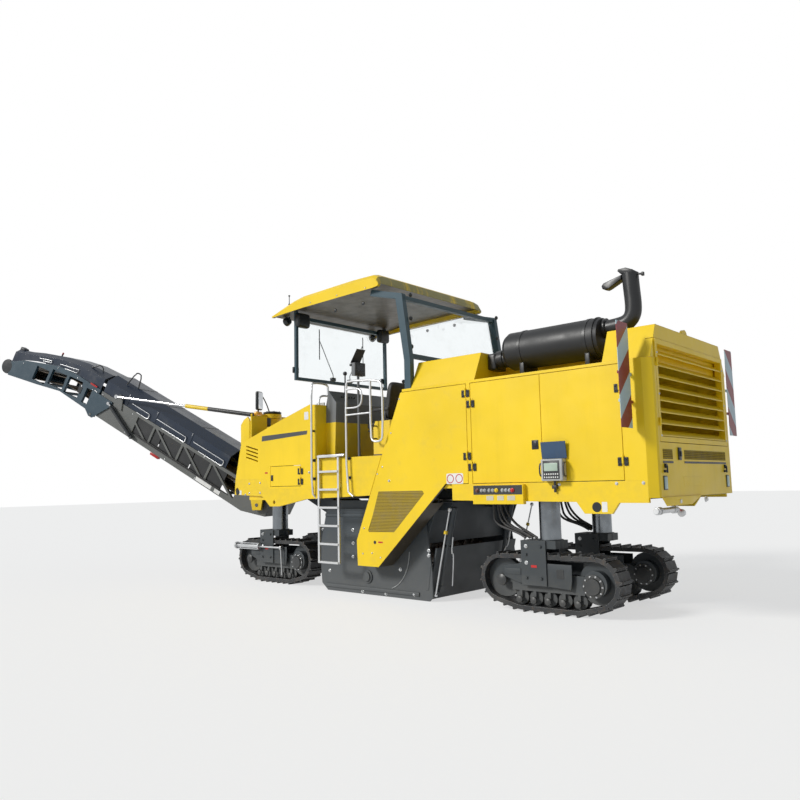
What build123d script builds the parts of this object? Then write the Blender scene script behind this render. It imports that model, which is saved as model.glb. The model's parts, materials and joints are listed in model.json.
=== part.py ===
"""Tracked cold planer (road milling machine) with a slewing, folding discharge conveyor.

Frame: millimetres, +X forward (towards the discharge conveyor), +Y to the machine's left, +Z up.
The origin is on the ground, on the centre plane, below the lower edge of the scraper behind the drum.
"""
import math
import os

from build123d import *

# ---------------------------------------------------------------- driving dimensions
HALF_W = 1210          # half width over the side panels
SKIN = 40              # thickness of doors and side panels
SHEET = 20             # thickness of covers and floors
GAP = 7                # seam round doors, clearance between moving pieces
PIN_FIT = 0.4          # clearance of a pin or rod in its bore
SEAT = 0.3             # clearance of a moving piece on its seat or guide

REAR_X = -3350         # rear corner of the body sides
FASCIA_X = -3450       # rear face of the engine bay
NOSE_X = 3900          # front end of the side walls
PLATFORM_FRONT = 1850  # rear wall of the front hood
BULKHEAD_X = -50       # front wall of the engine bay
SILL_Z = 1340          # lower edge of the body at the rear
FRAME_Z0, FRAME_Z1 = 1380, 1800     # main beams
BEAM_Y0, BEAM_Y1 = 370, 500
FLOOR_Z = 2000         # operator's platform
DOOR_Z0, DOOR_Z1 = 1583, 2848
EAVES_Z = 2890         # foot of the engine hood's chamfer
HOOD_Z = 3270          # top of the engine hood
HOOD_TOP_Y = 990       # half width of the hood's flat top

DOOR_SPLIT_X = -2096   # where the two engine doors meet
DOOR_REAR_X = -3090    # hinges of the rear engine door
DOOR_FRONT_X = -1085   # hinges of the front engine door
SIDE_DOOR_X = -1010    # hinges of the third door
SIDE_DOOR_TOP_X = 107  # upper front corner of the third door
DOOR_EDGE_SLOPE = 0.436             # its front edge runs forward as it goes down
COVER_DEPTH = 295      # the drum drive's cover on the left door stands this deep

TRACK_Y = 685          # track centre line from the centre plane
TRACK_W = 300          # shoe width
REAR_AXLE_X, FRONT_AXLE_X = -1850, 3370
LEG_R = 130            # lifting column
SLEEVE_T = 22          # wall of the column's sleeve
YOKE_Z0, YOKE_Z1 = 745, 880
IDLER_DX, IDLER_Z, IDLER_R = 655, 392, 236
SPROCKET_DX, SPROCKET_Z, SPROCKET_R = -640, 398, 242
ROLLER_R, ROLLER_Z = 92, 170
SHOE_T, GROUSER = 26, 24

DRUM_X, DRUM_Z = 930, 570           # drum axis
DRUM_Y0, DRUM_Y1 = -1105, 845       # drum ends
DRUM_BODY_R, PICK_TIP_R = 400, 490
DRUM_END_GAP = 10      # running clearance between the drum and the housing's side walls
WALL_T = 20
PLATE_T = 22           # edge protector plates
PLATE_FOOT = 6         # the edge plates hang just clear of the road

SLEW_X = 4450          # vertical slewing axis of the discharge conveyor
LUFF_Z = 1270          # luffing axis above the road
SLEW_DEG, PITCH_DEG = 20.0, 29.0
BELT_HALF_W = 370
TRUSS_HALF_W = 450
TRUSS_LOW, TRUSS_TOP = -280, 235    # truss depth about the luffing axis
COVER_TOP = 640
FOLD_U = 4420          # fold hinge along the conveyor
CHORD = 60             # chord tube
ARM_Y0, ARM_Y1 = 500, 540           # luffing arms beside the conveyor
STAY_Y = 580           # stays beside the conveyor
CAP_Z0, CAP_Z1 = 2866, 2950


# ---------------------------------------------------------------- helpers
def block(x0, x1, y0, y1, z0, z1):
    """Box between two corners."""
    return Pos((x0 + x1) / 2, (y0 + y1) / 2, (z0 + z1) / 2) * Box(abs(x1 - x0), abs(y1 - y0), abs(z1 - z0))


def outline(points):
    return make_face(Polyline(*points, close=True))


def side_prism(points, y0, y1):
    """Outline in X and Z, drawn out from y0 to y1."""
    lo, hi = min(y0, y1), max(y0, y1)
    return Pos(0, hi, 0) * Rot(90, 0, 0) * extrude(outline(points), hi - lo)


def end_prism(points, x0, x1):
    """Outline in Y and Z, drawn out from x0 to x1."""
    lo, hi = min(x0, x1), max(x0, x1)
    return Pos(lo, 0, 0) * Rot(0, 0, 90) * Rot(90, 0, 0) * extrude(outline(points), hi - lo)


def plan_prism(points, z0, z1):
    """Outline in X and Y, drawn up from z0 to z1."""
    return Pos(0, 0, z0) * extrude(outline(points), z1 - z0)


def rod(start, end, radius):
    """Round bar between two points."""
    a, b = Vector(*start), Vector(*end)
    return Plane(origin=a, z_dir=(b - a).normalized()) * Cylinder(
        radius, (b - a).length, align=(Align.CENTER, Align.CENTER, Align.MIN))


def tube(start, end, outer, inner):
    return rod(start, end, outer) - rod(start, end, inner)


def strut(u0, w0, u1, w1, wide, y0, y1):
    """Flat bar in a vertical plane between two points of it, from y0 to y1."""
    length = math.hypot(u1 - u0, w1 - w0)
    nu, nw = -(w1 - w0) / length * wide / 2, (u1 - u0) / length * wide / 2
    return side_prism([(u0 + nu, w0 + nw), (u1 + nu, w1 + nw), (u1 - nu, w1 - nw), (u0 - nu, w0 - nw)], y0, y1)


def bent_tube(points, radius, bend):
    """Round tube along straight runs joined by arcs."""
    path = FilletPolyline(*points, radius=bend) if len(points) > 2 else Line(points[0], points[1])
    start = Plane(origin=path @ 0, z_dir=path % 0)
    return sweep(start * Circle(radius), path=path)


def fuse(pieces):
    pieces = list(pieces)
    return pieces[0].fuse(*pieces[1:]) if len(pieces) > 1 else pieces[0]


def mirrored(shape):
    return mirror(shape, about=Plane.XZ)


PARTS = {}


def part(name, *shapes):
    """Keeps a sub-part; several shapes are pieces that do not touch."""
    solids = []
    for shape in shapes:
        solids += list(shape.solids())
    PARTS[name] = solids[0] if len(solids) == 1 else Compound(children=solids)


# ---------------------------------------------------------------- main frame
def door_edge_x(z):
    """Front edge of the third door at a height."""
    return SIDE_DOOR_TOP_X + (DOOR_Z1 - z) * DOOR_EDGE_SLOPE


SLEEVE_R = LEG_R + PIN_FIT + SLEEVE_T
TOWER_Z0, TOWER_Z1 = 2200, 2300     # beam that carries the slewing post
POST_R = 150
SHAFT_R = 60           # slewing shaft in the post
HOOD_FOOT = [(PLATFORM_FRONT, 1550), (3010, 1560), (3080, 1725), (NOSE_X + 20, 1725)]   # seam between sill and front hood


def leg_seat(x):
    """Cross box with the sleeve that guides a lifting column."""
    box = block(x - 210, x + 210, BEAM_Y1, HALF_W - SKIN, FRAME_Z0, FRAME_Z1 - 80)
    sleeve = rod((x, TRACK_Y, SILL_Z + 10), (x, TRACK_Y, 2280), SLEEVE_R)
    return box.fuse(sleeve)


def leg_bore(x):
    return rod((x, TRACK_Y, SILL_Z - 100), (x, TRACK_Y, 2262), LEG_R + PIN_FIT)


def frame_half():
    inner = HALF_W - SKIN
    beam = block(REAR_X + 40, 3600, BEAM_Y0, BEAM_Y1, FRAME_Z0, FRAME_Z1)
    rear_sill = side_prism([
        (REAR_X, SILL_Z), (REAR_X + 334, SILL_Z), (REAR_X + 419, SILL_Z - 119), (REAR_X + 746, SILL_Z - 119),
        (REAR_X + 842, SILL_Z + 10), (REAR_X + 2600, SILL_Z + 30), (REAR_X + 2600, DOOR_Z0 - GAP),
        (REAR_X, DOOR_Z0 - GAP)], inner, HALF_W)
    rear_sill -= rod((REAR_X + 596, inner - SKIN, 1289), (REAR_X + 596, HALF_W + SKIN, 1289), 34)
    front_sill = side_prism([
        (door_edge_x(1440) + 10, 1440), (2085, 1393), (2760, 1278), (2985, 1278), (3180, 1440), (NOSE_X + 40, 1472),
        *reversed(HOOD_FOOT), (PLATFORM_FRONT, FLOOR_Z), (door_edge_x(FLOOR_Z) + 10, FLOOR_Z)],
        inner, HALF_W)
    for x, z, r in ((2875, 1345, 30), (NOSE_X - 30, 1545, 45)):
        front_sill -= rod((x, inner - SKIN, z), (x, HALF_W + SKIN, z), r)
    rear_link = block(-700, -560, BEAM_Y1, inner, 1640, FRAME_Z1 - 80).fuse(
        block(-760, -560, inner - SKIN, inner, DOOR_Z0 - 60, FRAME_Z1 - 80))
    mid_link = block(1700, 1840, BEAM_Y1, inner, 1680, FRAME_Z1 - 80)
    tower = block(3400, 3600, BEAM_Y0, BEAM_Y1, FRAME_Z1, TOWER_Z1)
    front_wall = block(3600, 3620, BEAM_Y0, inner, 1480, 1700).fuse(block(3480, 3600, BEAM_Y1, inner, 1480, 1520))
    return fuse([beam, rear_sill, front_sill, rear_link, mid_link, tower, front_wall,
                 leg_seat(REAR_AXLE_X), leg_seat(FRONT_AXLE_X)]) - leg_bore(REAR_AXLE_X) - leg_bore(FRONT_AXLE_X)


def main_frame():
    half = frame_half()
    inner = HALF_W - SKIN
    cross = [block(REAR_X, REAR_X + 120, -inner, inner, FRAME_Z0, DOOR_Z0 - GAP),
             block(-700, -560, -BEAM_Y0, BEAM_Y0, FRAME_Z0 + 20, FRAME_Z1),
             block(3400, 3600, -BEAM_Y0, BEAM_Y0, TOWER_Z0, TOWER_Z1),
             block(3600, SLEW_X + 190, -200, 200, TOWER_Z0, TOWER_Z1),
             rod((SLEW_X, 0, TOWER_Z0), (SLEW_X, 0, CAP_Z0 - GAP), POST_R)]
    bore = rod((SLEW_X, 0, TOWER_Z0 - 50), (SLEW_X, 0, CAP_Z1), SHAFT_R + PIN_FIT)
    return fuse([half, mirrored(half)] + cross) - bore


# ---------------------------------------------------------------- body shells and doors
KNUCKLE_R, KNUCKLE_H = 12, 45
HINGE_Y = HALF_W + KNUCKLE_R        # hinge axes of the doors stand just outside the body's sides
LEAF_T, LEAF_W = 6, 35


def hinge_half(x, z, reach):
    """Knuckle and leaf of a left-hand door hinge; the leaf reaches to one side of the axis."""
    knuckle = rod((x, HINGE_Y, z), (x, HINGE_Y, z + KNUCKLE_H), KNUCKLE_R - SEAT)
    return knuckle.fuse(block(x, x + reach, HALF_W, HALF_W + LEAF_T, z, z + KNUCKLE_H))


def fixed_hinges(x, side, heights):
    """Halves on the body: side is where the body lies from the axis, +1 or -1 along X."""
    return [hinge_half(x, z, side * LEAF_W) for z in heights]


def moving_hinges(x, side, heights):
    return [hinge_half(x, z + KNUCKLE_H + SEAT, -side * LEAF_W) for z in heights]


DOOR_HINGES = (1760, 2560)
SIDE_DOOR_HINGES = (1900, 2700)
SMALL_HINGES = (1640, 1800)
FRONT_DOOR_X0, FRONT_DOOR_X1 = 2220, 2965
FRONT_DOOR_Z0, FRONT_DOOR_Z1 = 1600, 1915
HOOD_LINE = [(3760, 2339), (2720, 2651), (2000, 2850), (PLATFORM_FRONT, 2835)]


def front_hood():
    """Hood between the platform and the front, open below and at the front's middle."""
    side = HOOD_FOOT + HOOD_LINE
    shell = side_prism(side, -HALF_W, HALF_W)
    inner = [(PLATFORM_FRONT + SHEET, 1400), (NOSE_X + 100, 1400), (NOSE_X - 10, 1725), (3742, 2314), (2716, 2628),
             (2000, 2826), (PLATFORM_FRONT + SHEET, 2812)]
    shell -= side_prism(inner, -HALF_W + SKIN, HALF_W - SKIN)
    shell -= block(3500, 4200, -620, 620, 1400, TOWER_Z1 + 20)
    shell -= block(PLATFORM_FRONT - 1, PLATFORM_FRONT + SHEET + 1, -HALF_W + SKIN, HALF_W - SKIN, 1400, FLOOR_Z - SHEET)
    for y0, y1 in ((HALF_W - 2 * SKIN, HALF_W + SKIN), (-HALF_W - SKIN, -HALF_W + 2 * SKIN)):
        shell -= block(FRONT_DOOR_X0 - GAP, FRONT_DOOR_X1 + GAP, y0, y1, FRONT_DOOR_Z0 - GAP, FRONT_DOOR_Z1 + GAP)
        for i in range(4):
            z = 2250 - 62 * i
            shell -= side_prism([(3300, z - 60), (3620, z + 20), (3620, z + 44), (3300, z - 36)], y0, y1)
    ear = block(3480, 3510, HALF_W - 330, HALF_W - 4, 2395, 2790)
    halves = fixed_hinges(FRONT_DOOR_X0, -1, SMALL_HINGES)
    return fuse([shell, ear, mirrored(ear)] + halves + [mirrored(h) for h in halves])


MUFFLER_Y, MUFFLER_Z, MUFFLER_R = 745, 3250, 240
MUFFLER_X0, MUFFLER_X1 = -2760, -1425
RECESS_X0, RECESS_X1, RECESS_Y = -2880, -1120, 430      # step in the hood that holds the muffler


def hood_section(inset):
    half, top = HALF_W - SKIN - inset, HOOD_Z - inset
    return [(-half, EAVES_Z - 45), (-half, EAVES_Z), (-HOOD_TOP_Y + inset, top), (HOOD_TOP_Y - inset, top),
            (half, EAVES_Z), (half, EAVES_Z - 45)]


GRILLE_Y0, GRILLE_Y1, GRILLE_Z0, GRILLE_Z1 = -1055, 1060, 1985, 3105
GRILLE_HINGES = (2150, 2800)


def grille_hinge(z, y_leaf):
    """Half of a hinge of the rear grille, its leaf lying on the fascia."""
    x, y = FASCIA_X - KNUCKLE_R, GRILLE_Y1
    knuckle = rod((x, y, z), (x, y, z + KNUCKLE_H), KNUCKLE_R - SEAT)
    return knuckle.fuse(block(FASCIA_X - LEAF_T, FASCIA_X, y, y_leaf, z, z + KNUCKLE_H))


def engine_hood():
    """Roof, rear wall, pillars and front bulkhead of the engine bay in one welded shell."""
    roof = end_prism(hood_section(0), FASCIA_X + 100, BULKHEAD_X)
    roof -= end_prism([(y, z - (60 if z < EAVES_Z else 0)) for y, z in hood_section(SHEET)],
                      FASCIA_X + 100 + SHEET, BULKHEAD_X - SHEET)
    recess = block(RECESS_X0, RECESS_X1, RECESS_Y, HALF_W + 10, EAVES_Z - 20, HOOD_Z + 50)
    tray = block(RECESS_X0 - SHEET, RECESS_X1 + SHEET, RECESS_Y - SHEET, HALF_W - SKIN, EAVES_Z - 40, HOOD_Z)
    within = end_prism(hood_section(0), RECESS_X0 - SHEET, RECESS_X1 + SHEET)
    roof = fuse([roof, tray & within]) - recess
    inner = HALF_W - SKIN
    pieces = [roof]
    for sign in (1, -1):
        y0, y1 = sorted((sign * (inner - SKIN), sign * HALF_W))
        pieces.append(block(REAR_X, DOOR_REAR_X - GAP, y0, y1, DOOR_Z0 - GAP, EAVES_Z))
        pieces.append(block(DOOR_FRONT_X + GAP, SIDE_DOOR_X - GAP, y0, y1, DOOR_Z0 - GAP, EAVES_Z))
        pieces.append(block(REAR_X, BULKHEAD_X, y0, y1, DOOR_Z1 + GAP, EAVES_Z))
        pieces.append(block(REAR_X, SIDE_DOOR_TOP_X - 30, sign * inner, sign * HALF_W, DOOR_Z1 + GAP, EAVES_Z))
    halves = fixed_hinges(DOOR_REAR_X, -1, DOOR_HINGES) + fixed_hinges(DOOR_FRONT_X, 1, DOOR_HINGES)
    halves += [h for h in fixed_hinges(SIDE_DOOR_X, -1, SIDE_DOOR_HINGES)]
    pieces += halves + [mirrored(h) for h in halves]
    pieces.append(block(BULKHEAD_X - SHEET, BULKHEAD_X, -inner + SKIN, inner - SKIN, 1810, EAVES_Z))
    back = plan_prism([(REAR_X, -HALF_W), (REAR_X, HALF_W), (REAR_X - 90, HALF_W - 70), (FASCIA_X, HALF_W - 100),
                       (FASCIA_X, -HALF_W + 100), (REAR_X - 90, -HALF_W + 70)], SILL_Z + 50, EAVES_Z)
    back = fuse([back, end_prism([(-inner, EAVES_Z), (-HOOD_TOP_Y, HOOD_Z), (HOOD_TOP_Y, HOOD_Z), (inner, EAVES_Z)],
                                 FASCIA_X + 12, REAR_X)])
    back -= block(FASCIA_X - 10, REAR_X + 10, GRILLE_Y0 - GAP, GRILLE_Y1 + GAP, GRILLE_Z0 - GAP, GRILLE_Z1 + GAP)
    pieces.append(back)
    pieces += [grille_hinge(z, GRILLE_Y1 + 40) for z in GRILLE_HINGES]
    return fuse(pieces)


def rear_grille():
    """Swing-out grille with deep slanted slats."""
    x0, x1 = FASCIA_X, REAR_X - 20
    rim = 55
    frame = block(x0, x1, GRILLE_Y0, GRILLE_Y1, GRILLE_Z0, GRILLE_Z1) - block(
        x0 - 5, x1 + 5, GRILLE_Y0 + rim, GRILLE_Y1 - rim, GRILLE_Z0 + rim, GRILLE_Z1 - rim)
    slats = []
    count = 8
    pitch = (GRILLE_Z1 - GRILLE_Z0 - 2 * rim) / count
    for i in range(count):
        z = GRILLE_Z0 + rim + pitch * i
        slats.append(side_prism([(x0 + 4, z + 6), (x1 - 4, z + 66), (x1 - 4, z + 78), (x0 + 4, z + 18)],
                                GRILLE_Y0 + rim - 5, GRILLE_Y1 - rim + 5))
    leaves = [grille_hinge(z + KNUCKLE_H + SEAT, GRILLE_Y1 - 50) for z in GRILLE_HINGES]
    return fuse([frame] + slats + leaves)


def engine_door(x0, x1, hinge_x, side):
    plate = block(x0, x1, HALF_W - SKIN, HALF_W, DOOR_Z0, DOOR_Z1)
    return fuse([plate] + moving_hinges(hinge_x, side, DOOR_HINGES))


COVER_LINE = [(1000, 807), (986, 453), (580, 453), (-617, 1559)]    # lower part of the left door


def belt_door():
    """Third left door with the deep cover of the drum's belt drive below it."""
    top = [(SIDE_DOOR_X, DOOR_Z0), (SIDE_DOOR_X, DOOR_Z1), (SIDE_DOOR_TOP_X, DOOR_Z1)]
    plate = side_prism(top + COVER_LINE + [(-640, DOOR_Z0)], HALF_W - SKIN, HALF_W)
    edge = (door_edge_x(1330), 1330)
    t = 14
    tub = side_prism([(edge[0], 1330), COVER_LINE[0], COVER_LINE[1], COVER_LINE[2], (-370, 1330)],
                     HALF_W - COVER_DEPTH, HALF_W - SKIN)
    tub -= side_prism([(edge[0] - t, 1400), (COVER_LINE[0][0] - t, 807), (COVER_LINE[1][0] - t, 453 + t),
                       (COVER_LINE[2][0] + 6, 453 + t), (-345, 1330 - 4), (-345, 1400)],
                      HALF_W - COVER_DEPTH - 5, HALF_W - SKIN)
    grille = [(532, 1496), (-255, 1496), (287, 940), (769, 950)]
    plate -= side_prism(grille, HALF_W - 12, HALF_W + 5)
    return fuse([plate, tub] + moving_hinges(SIDE_DOOR_X, -1, SIDE_DOOR_HINGES))


def side_door():
    """Third right door, without the belt cover."""
    plate = side_prism([(SIDE_DOOR_X, DOOR_Z0), (SIDE_DOOR_X, DOOR_Z1), (SIDE_DOOR_TOP_X, DOOR_Z1),
                        (door_edge_x(DOOR_Z0), DOOR_Z0)], HALF_W - SKIN, HALF_W)
    return mirrored(fuse([plate] + moving_hinges(SIDE_DOOR_X, -1, SIDE_DOOR_HINGES)))


def front_door():
    plate = block(FRONT_DOOR_X0, FRONT_DOOR_X1, HALF_W - SKIN, HALF_W, FRONT_DOOR_Z0, FRONT_DOOR_Z1)
    return fuse([plate] + moving_hinges(FRONT_DOOR_X0, -1, SMALL_HINGES))


def engine_block():
    """Engine with its gearbox as one plain mass on the main beams."""
    return block(-2550, -850, -BEAM_Y1, BEAM_Y1, FRAME_Z1, 2560)


# ---------------------------------------------------------------- platform
BOX_Z = 2490           # top of the lockers beside the seats


def platform():
    inner = HALF_W - SKIN
    floor = block(BULKHEAD_X, PLATFORM_FRONT, -inner + 1, inner - 1, FLOOR_Z - SHEET, FLOOR_Z)
    legs = [block(x, x + 60, y0, y1, FRAME_Z1, FLOOR_Z - SHEET)
            for x in (60, 800, 1700) for y0, y1 in ((BEAM_Y0, BEAM_Y1), (-BEAM_Y1, -BEAM_Y0))]
    boxes = []
    for sign in (1, -1):
        y0, y1 = sorted((sign * 700, sign * (inner - GAP)))
        boxes.append(side_prism([(BULKHEAD_X, FLOOR_Z), (680, FLOOR_Z), (680, 2400), (640, BOX_Z), (BULKHEAD_X, BOX_Z)],
                                y0, y1))
    return fuse([floor] + legs + boxes)


def control_console():
    desk = side_prism([(1660, FLOOR_Z), (PLATFORM_FRONT, FLOOR_Z), (PLATFORM_FRONT, 2835), (1790, 3060), (1620, 2860)],
                      -1000, 1000)
    screen = rod((1435, 700, FLOOR_Z), (1435, 700, 3330), 20).fuse(
        block(1400, 1470, 590, 810, 3280, 3480), block(1380, 1490, 620, 780, FLOOR_Z, FLOOR_Z + 20))
    return [desk, screen]


SEAT_X, SEAT_Y = 1080, 442


def seat():
    """Operator's seat on its swivel."""
    foot = rod((SEAT_X, SEAT_Y, FLOOR_Z + SEAT), (SEAT_X, SEAT_Y, 2420), 60)
    cushion = block(SEAT_X - 230, SEAT_X + 260, SEAT_Y - 240, SEAT_Y + 240, 2420, 2540)
    back = side_prism([(SEAT_X - 260, 2500), (SEAT_X - 150, 2500), (SEAT_X - 270, 3160), (SEAT_X - 360, 3160)],
                      SEAT_Y - 240, SEAT_Y + 240)
    return fuse([foot, cushion, back])


ROOF_X0, ROOF_X1 = 430, 2860
ROOF_HALF_W = 1270


ROOF_CREST, ROOF_BROW = (1280, 4608), (2800, 4448)       # inner surface of the roof's forward slope


def roof_inside(x):
    share = (x - ROOF_CREST[0]) / (ROOF_BROW[0] - ROOF_CREST[0])
    return ROOF_CREST[1] + share * (ROOF_BROW[1] - ROOF_CREST[1])


def canopy_roof():
    profile = [(520, 4640), (1280, 4640), (2860, 4475), (2850, 4355), (1630, 4358), (660, 4425), (ROOF_X0, 4355)]
    hollow = [(620, 4300), (640, 4600), ROOF_CREST, ROOF_BROW, (ROOF_BROW[0], 4300)]
    return side_prism(profile, -ROOF_HALF_W, ROOF_HALF_W) - side_prism(hollow, -ROOF_HALF_W + 40, ROOF_HALF_W - 40)


POST_Y = 1130
SCREEN_X = 2490
PANE_T = 8


def canopy_frame():
    """Two rear posts that carry the roof, with the screens' frames."""
    posts = [side_prism([(BULKHEAD_X, BOX_Z), (60, BOX_Z), (60, 3300), (200, 4200), (700, 4335), (660, 4425),
                         (ROOF_X0, 4355), (80, 4260), (BULKHEAD_X, 3300)], y - 40, y + 40)
             for y in (POST_Y, -POST_Y)]
    cross = [block(0, 70, -POST_Y, POST_Y, 3340, 3400), block(90, 160, -POST_Y, POST_Y, 4180, 4240)]
    front = block(SCREEN_X - 25, SCREEN_X + 25, -1080, 1080, 3300, 4366) - block(
        SCREEN_X - 30, SCREEN_X + 30, -1030, 1030, 3350, 4310)
    hangers = [side_prism([(SCREEN_X - 25, 4340), (SCREEN_X + 25, 4340), (SCREEN_X + 25, roof_inside(SCREEN_X + 25)),
                           (SCREEN_X - 25, roof_inside(SCREEN_X - 25))], y, y + 50) for y in (-1080, 1030)]
    return [fuse(posts + cross), fuse([front] + hangers)]


def canopy_glass():
    front = block(SCREEN_X - PANE_T / 2, SCREEN_X + PANE_T / 2, -1030, 1030, 3350, 4310)
    rear = side_prism([(30, 3400), (30 + PANE_T, 3400), (120 + PANE_T, 4180), (120, 4180)], -POST_Y + 40, POST_Y - 40)
    return [front, rear]


def exhaust():
    """Muffler along the hood with its inlet duct and tailpipe."""
    can = rod((MUFFLER_X0, MUFFLER_Y, MUFFLER_Z), (MUFFLER_X1, MUFFLER_Y, MUFFLER_Z), MUFFLER_R)
    pipe = bent_tube([(MUFFLER_X0 + 20, MUFFLER_Y - 40, 3400), (-3080, MUFFLER_Y - 40, 3400), (-3080, MUFFLER_Y - 40, 3930),
                      (-2740, MUFFLER_Y - 40, 3960)], 72, 110)
    duct = block(MUFFLER_X1, RECESS_X1, 640, 860, 3080, 3260)
    feet = [block(x, x + 60, MUFFLER_Y - 150, MUFFLER_Y + 150, EAVES_Z - 20, MUFFLER_Z - 150) for x in (-2600, -1650)]
    return fuse([can, pipe, duct] + feet)


RAIL_R = 17


def handrails():
    y = HALF_W + 50
    rails = []
    for x, top in ((1895, 3180), (1130, 3120)):
        rails.append(bent_tube([(x, HALF_W, 1440 + 60), (x, y, 1500), (x, y, top), (x - 400, y, top - 40),
                                (x - 400, y, 2700)], RAIL_R, 40))
    return rails


LADDER_X0, LADDER_X1 = 1330, 1760
LADDER_Y = HALF_W + 35


def ladder():
    stiles = [block(x - 18, x + 18, LADDER_Y - 12, LADDER_Y + 12, 455, 2040) for x in (LADDER_X0, LADDER_X1)]
    rungs = [block(LADDER_X0, LADDER_X1, LADDER_Y - 30, LADDER_Y + 30, 470 + 266 * i - 15, 470 + 266 * i + 15)
             for i in range(6)]
    rungs.append(block(LADDER_X0, LADDER_X1, LADDER_Y - 30, LADDER_Y + 30, 2010, 2040))
    hangers = [block(x - 18, x + 18, HALF_W, LADDER_Y, 1560, 1620) for x in (LADDER_X0, LADDER_X1)]
    return fuse(stiles + rungs + hangers)


def ground_panel():
    """Ground-level control box with its open lid, and the socket box below."""
    panel = block(-2290, -2120, HALF_W, HALF_W + 120, 1640, 1860)
    sockets = block(-1850, -1120, HALF_W, HALF_W + 60, 1325, 1560)
    return [panel], [sockets]


def warning_board(x, y0, y1):
    """Striped board with its two brackets on the body's rear corner."""
    board = block(x - 3, x + 3, y0, y1, 2130, 3265)
    arms = []
    for z in (2400, 2700):
        arms.append(block(x + 3, x + 27, HALF_W, y1 - 20, z, z + 30))
        arms.append(block(x + 3, REAR_X + 180, HALF_W, HALF_W + 14, z, z + 30))
    return fuse([board] + arms)


def warning_boards():
    return [warning_board(REAR_X + 110, HALF_W + 50, HALF_W + 320), mirrored(warning_board(REAR_X - 80, HALF_W + 40, HALF_W + 300))]


def tow_pipe():
    pipe = bent_tube([(FASCIA_X + 60, 640, SILL_Z + 50), (FASCIA_X + 60, 640, 1250), (FASCIA_X + 60, 1150, 1250)], 30, 50)
    return pipe


# ---------------------------------------------------------------- milling drum and its housing
HOUSE_X0, HOUSE_X1 = 380, 1560
HOUSE_Z1 = 1340
SCRAPER_FOOT_X, SCRAPER_HEAD_X = 0, -290
RAKE = (SCRAPER_HEAD_X - SCRAPER_FOOT_X) / 1140     # the scraper leans back as it rises


DRUM_SHAFT_R = 90
RAM_YS = (700, -700)
RAM_ROD_R = 24
RAM_BACK = 62          # the scraper's cylinders stand this far behind its blade


def ram_point(z, y):
    """Point at a height on a scraper cylinder's axis."""
    return (SCRAPER_FOOT_X - RAM_BACK + RAKE * z, y, z)


def drum_housing():
    walls = []
    for y0, y1 in ((DRUM_Y0 - DRUM_END_GAP - WALL_T, DRUM_Y0 - DRUM_END_GAP), (DRUM_Y1 + DRUM_END_GAP, DRUM_Y1 + DRUM_END_GAP + WALL_T)):
        walls.append(side_prism([(-250, 1365), (1900, 1365), (1900, 900), (1560, 260), (330, 260), (30, 700)], y0, y1))
    inner0, inner1 = DRUM_Y0 - DRUM_END_GAP, DRUM_Y1 + DRUM_END_GAP
    top = block(60, 1560, inner0, inner1, 1300, 1300 + WALL_T)
    front = block(1500, 1500 + WALL_T, inner0, inner1, 260, 1310) - block(1480, 1540, -PICKUP_HALF_W + 30, PICKUP_HALF_W - 30, 500, 740)
    back = block(60, 60 + WALL_T, inner0, inner1, 760, 1310)
    pads = [block(x, x + 200, y0, y1, 1300 + WALL_T, FRAME_Z0)
            for x in (150, 1250) for y0, y1 in ((BEAM_Y0, BEAM_Y1), (-BEAM_Y1, -BEAM_Y0))]
    rams = []
    for y in RAM_YS:
        rams.append(rod(ram_point(760, y), ram_point(1260, y), 42))
        rams.append(block(ram_point(1200, y)[0], 65, y - 30, y + 30, 1220, 1300 + WALL_T))
    guides = [block(x, x + 90, y0, y1, 960, 1200) for x in (120, 1650)
              for y0, y1 in ((inner1 + WALL_T, inner1 + WALL_T + GAP - SEAT), (inner0 - WALL_T - GAP + SEAT, inner0 - WALL_T))]
    shape = fuse(walls + [top, front, back] + pads + rams + guides)
    for y in RAM_YS:
        shape -= rod(ram_point(700, y), ram_point(1240, y), RAM_ROD_R + PIN_FIT)
    return shape - rod((DRUM_X, -HALF_W, DRUM_Z), (DRUM_X, HALF_W, DRUM_Z), DRUM_SHAFT_R + PIN_FIT)


def edge_plate(y0, y1):
    """Edge protector beside the drum, with a rounded front corner."""
    plate = side_prism([(-70, PLATE_FOOT), (1950, PLATE_FOOT), (2080, 110), (2100, 330), (2100, 700), (1960, 1240),
                        (-20, 1240), (-130, 400), (-130, 60)], y0, y1)
    return plate


def scraper():
    """Scraper blade that closes the housing behind the drum, with the rods of its cylinders."""
    t = 30
    lean = RAKE
    blade = side_prism([(SCRAPER_FOOT_X, 12), (SCRAPER_FOOT_X + t, 12), (SCRAPER_FOOT_X + t + lean * 700, 712),
                        (SCRAPER_FOOT_X + lean * 700, 712)], DRUM_Y0 + 4, DRUM_Y1 - 4)
    rods = [rod(ram_point(150, y), ram_point(900, y), RAM_ROD_R) for y in RAM_YS]
    feet = [side_prism([(RAKE * 110 - 90, 110), (RAKE * 110 + 5, 110), (RAKE * 190 + 5, 190), (RAKE * 190 - 90, 190)],
                       y - 40, y + 40) for y in RAM_YS]
    return fuse([blade] + rods + feet)


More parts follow.
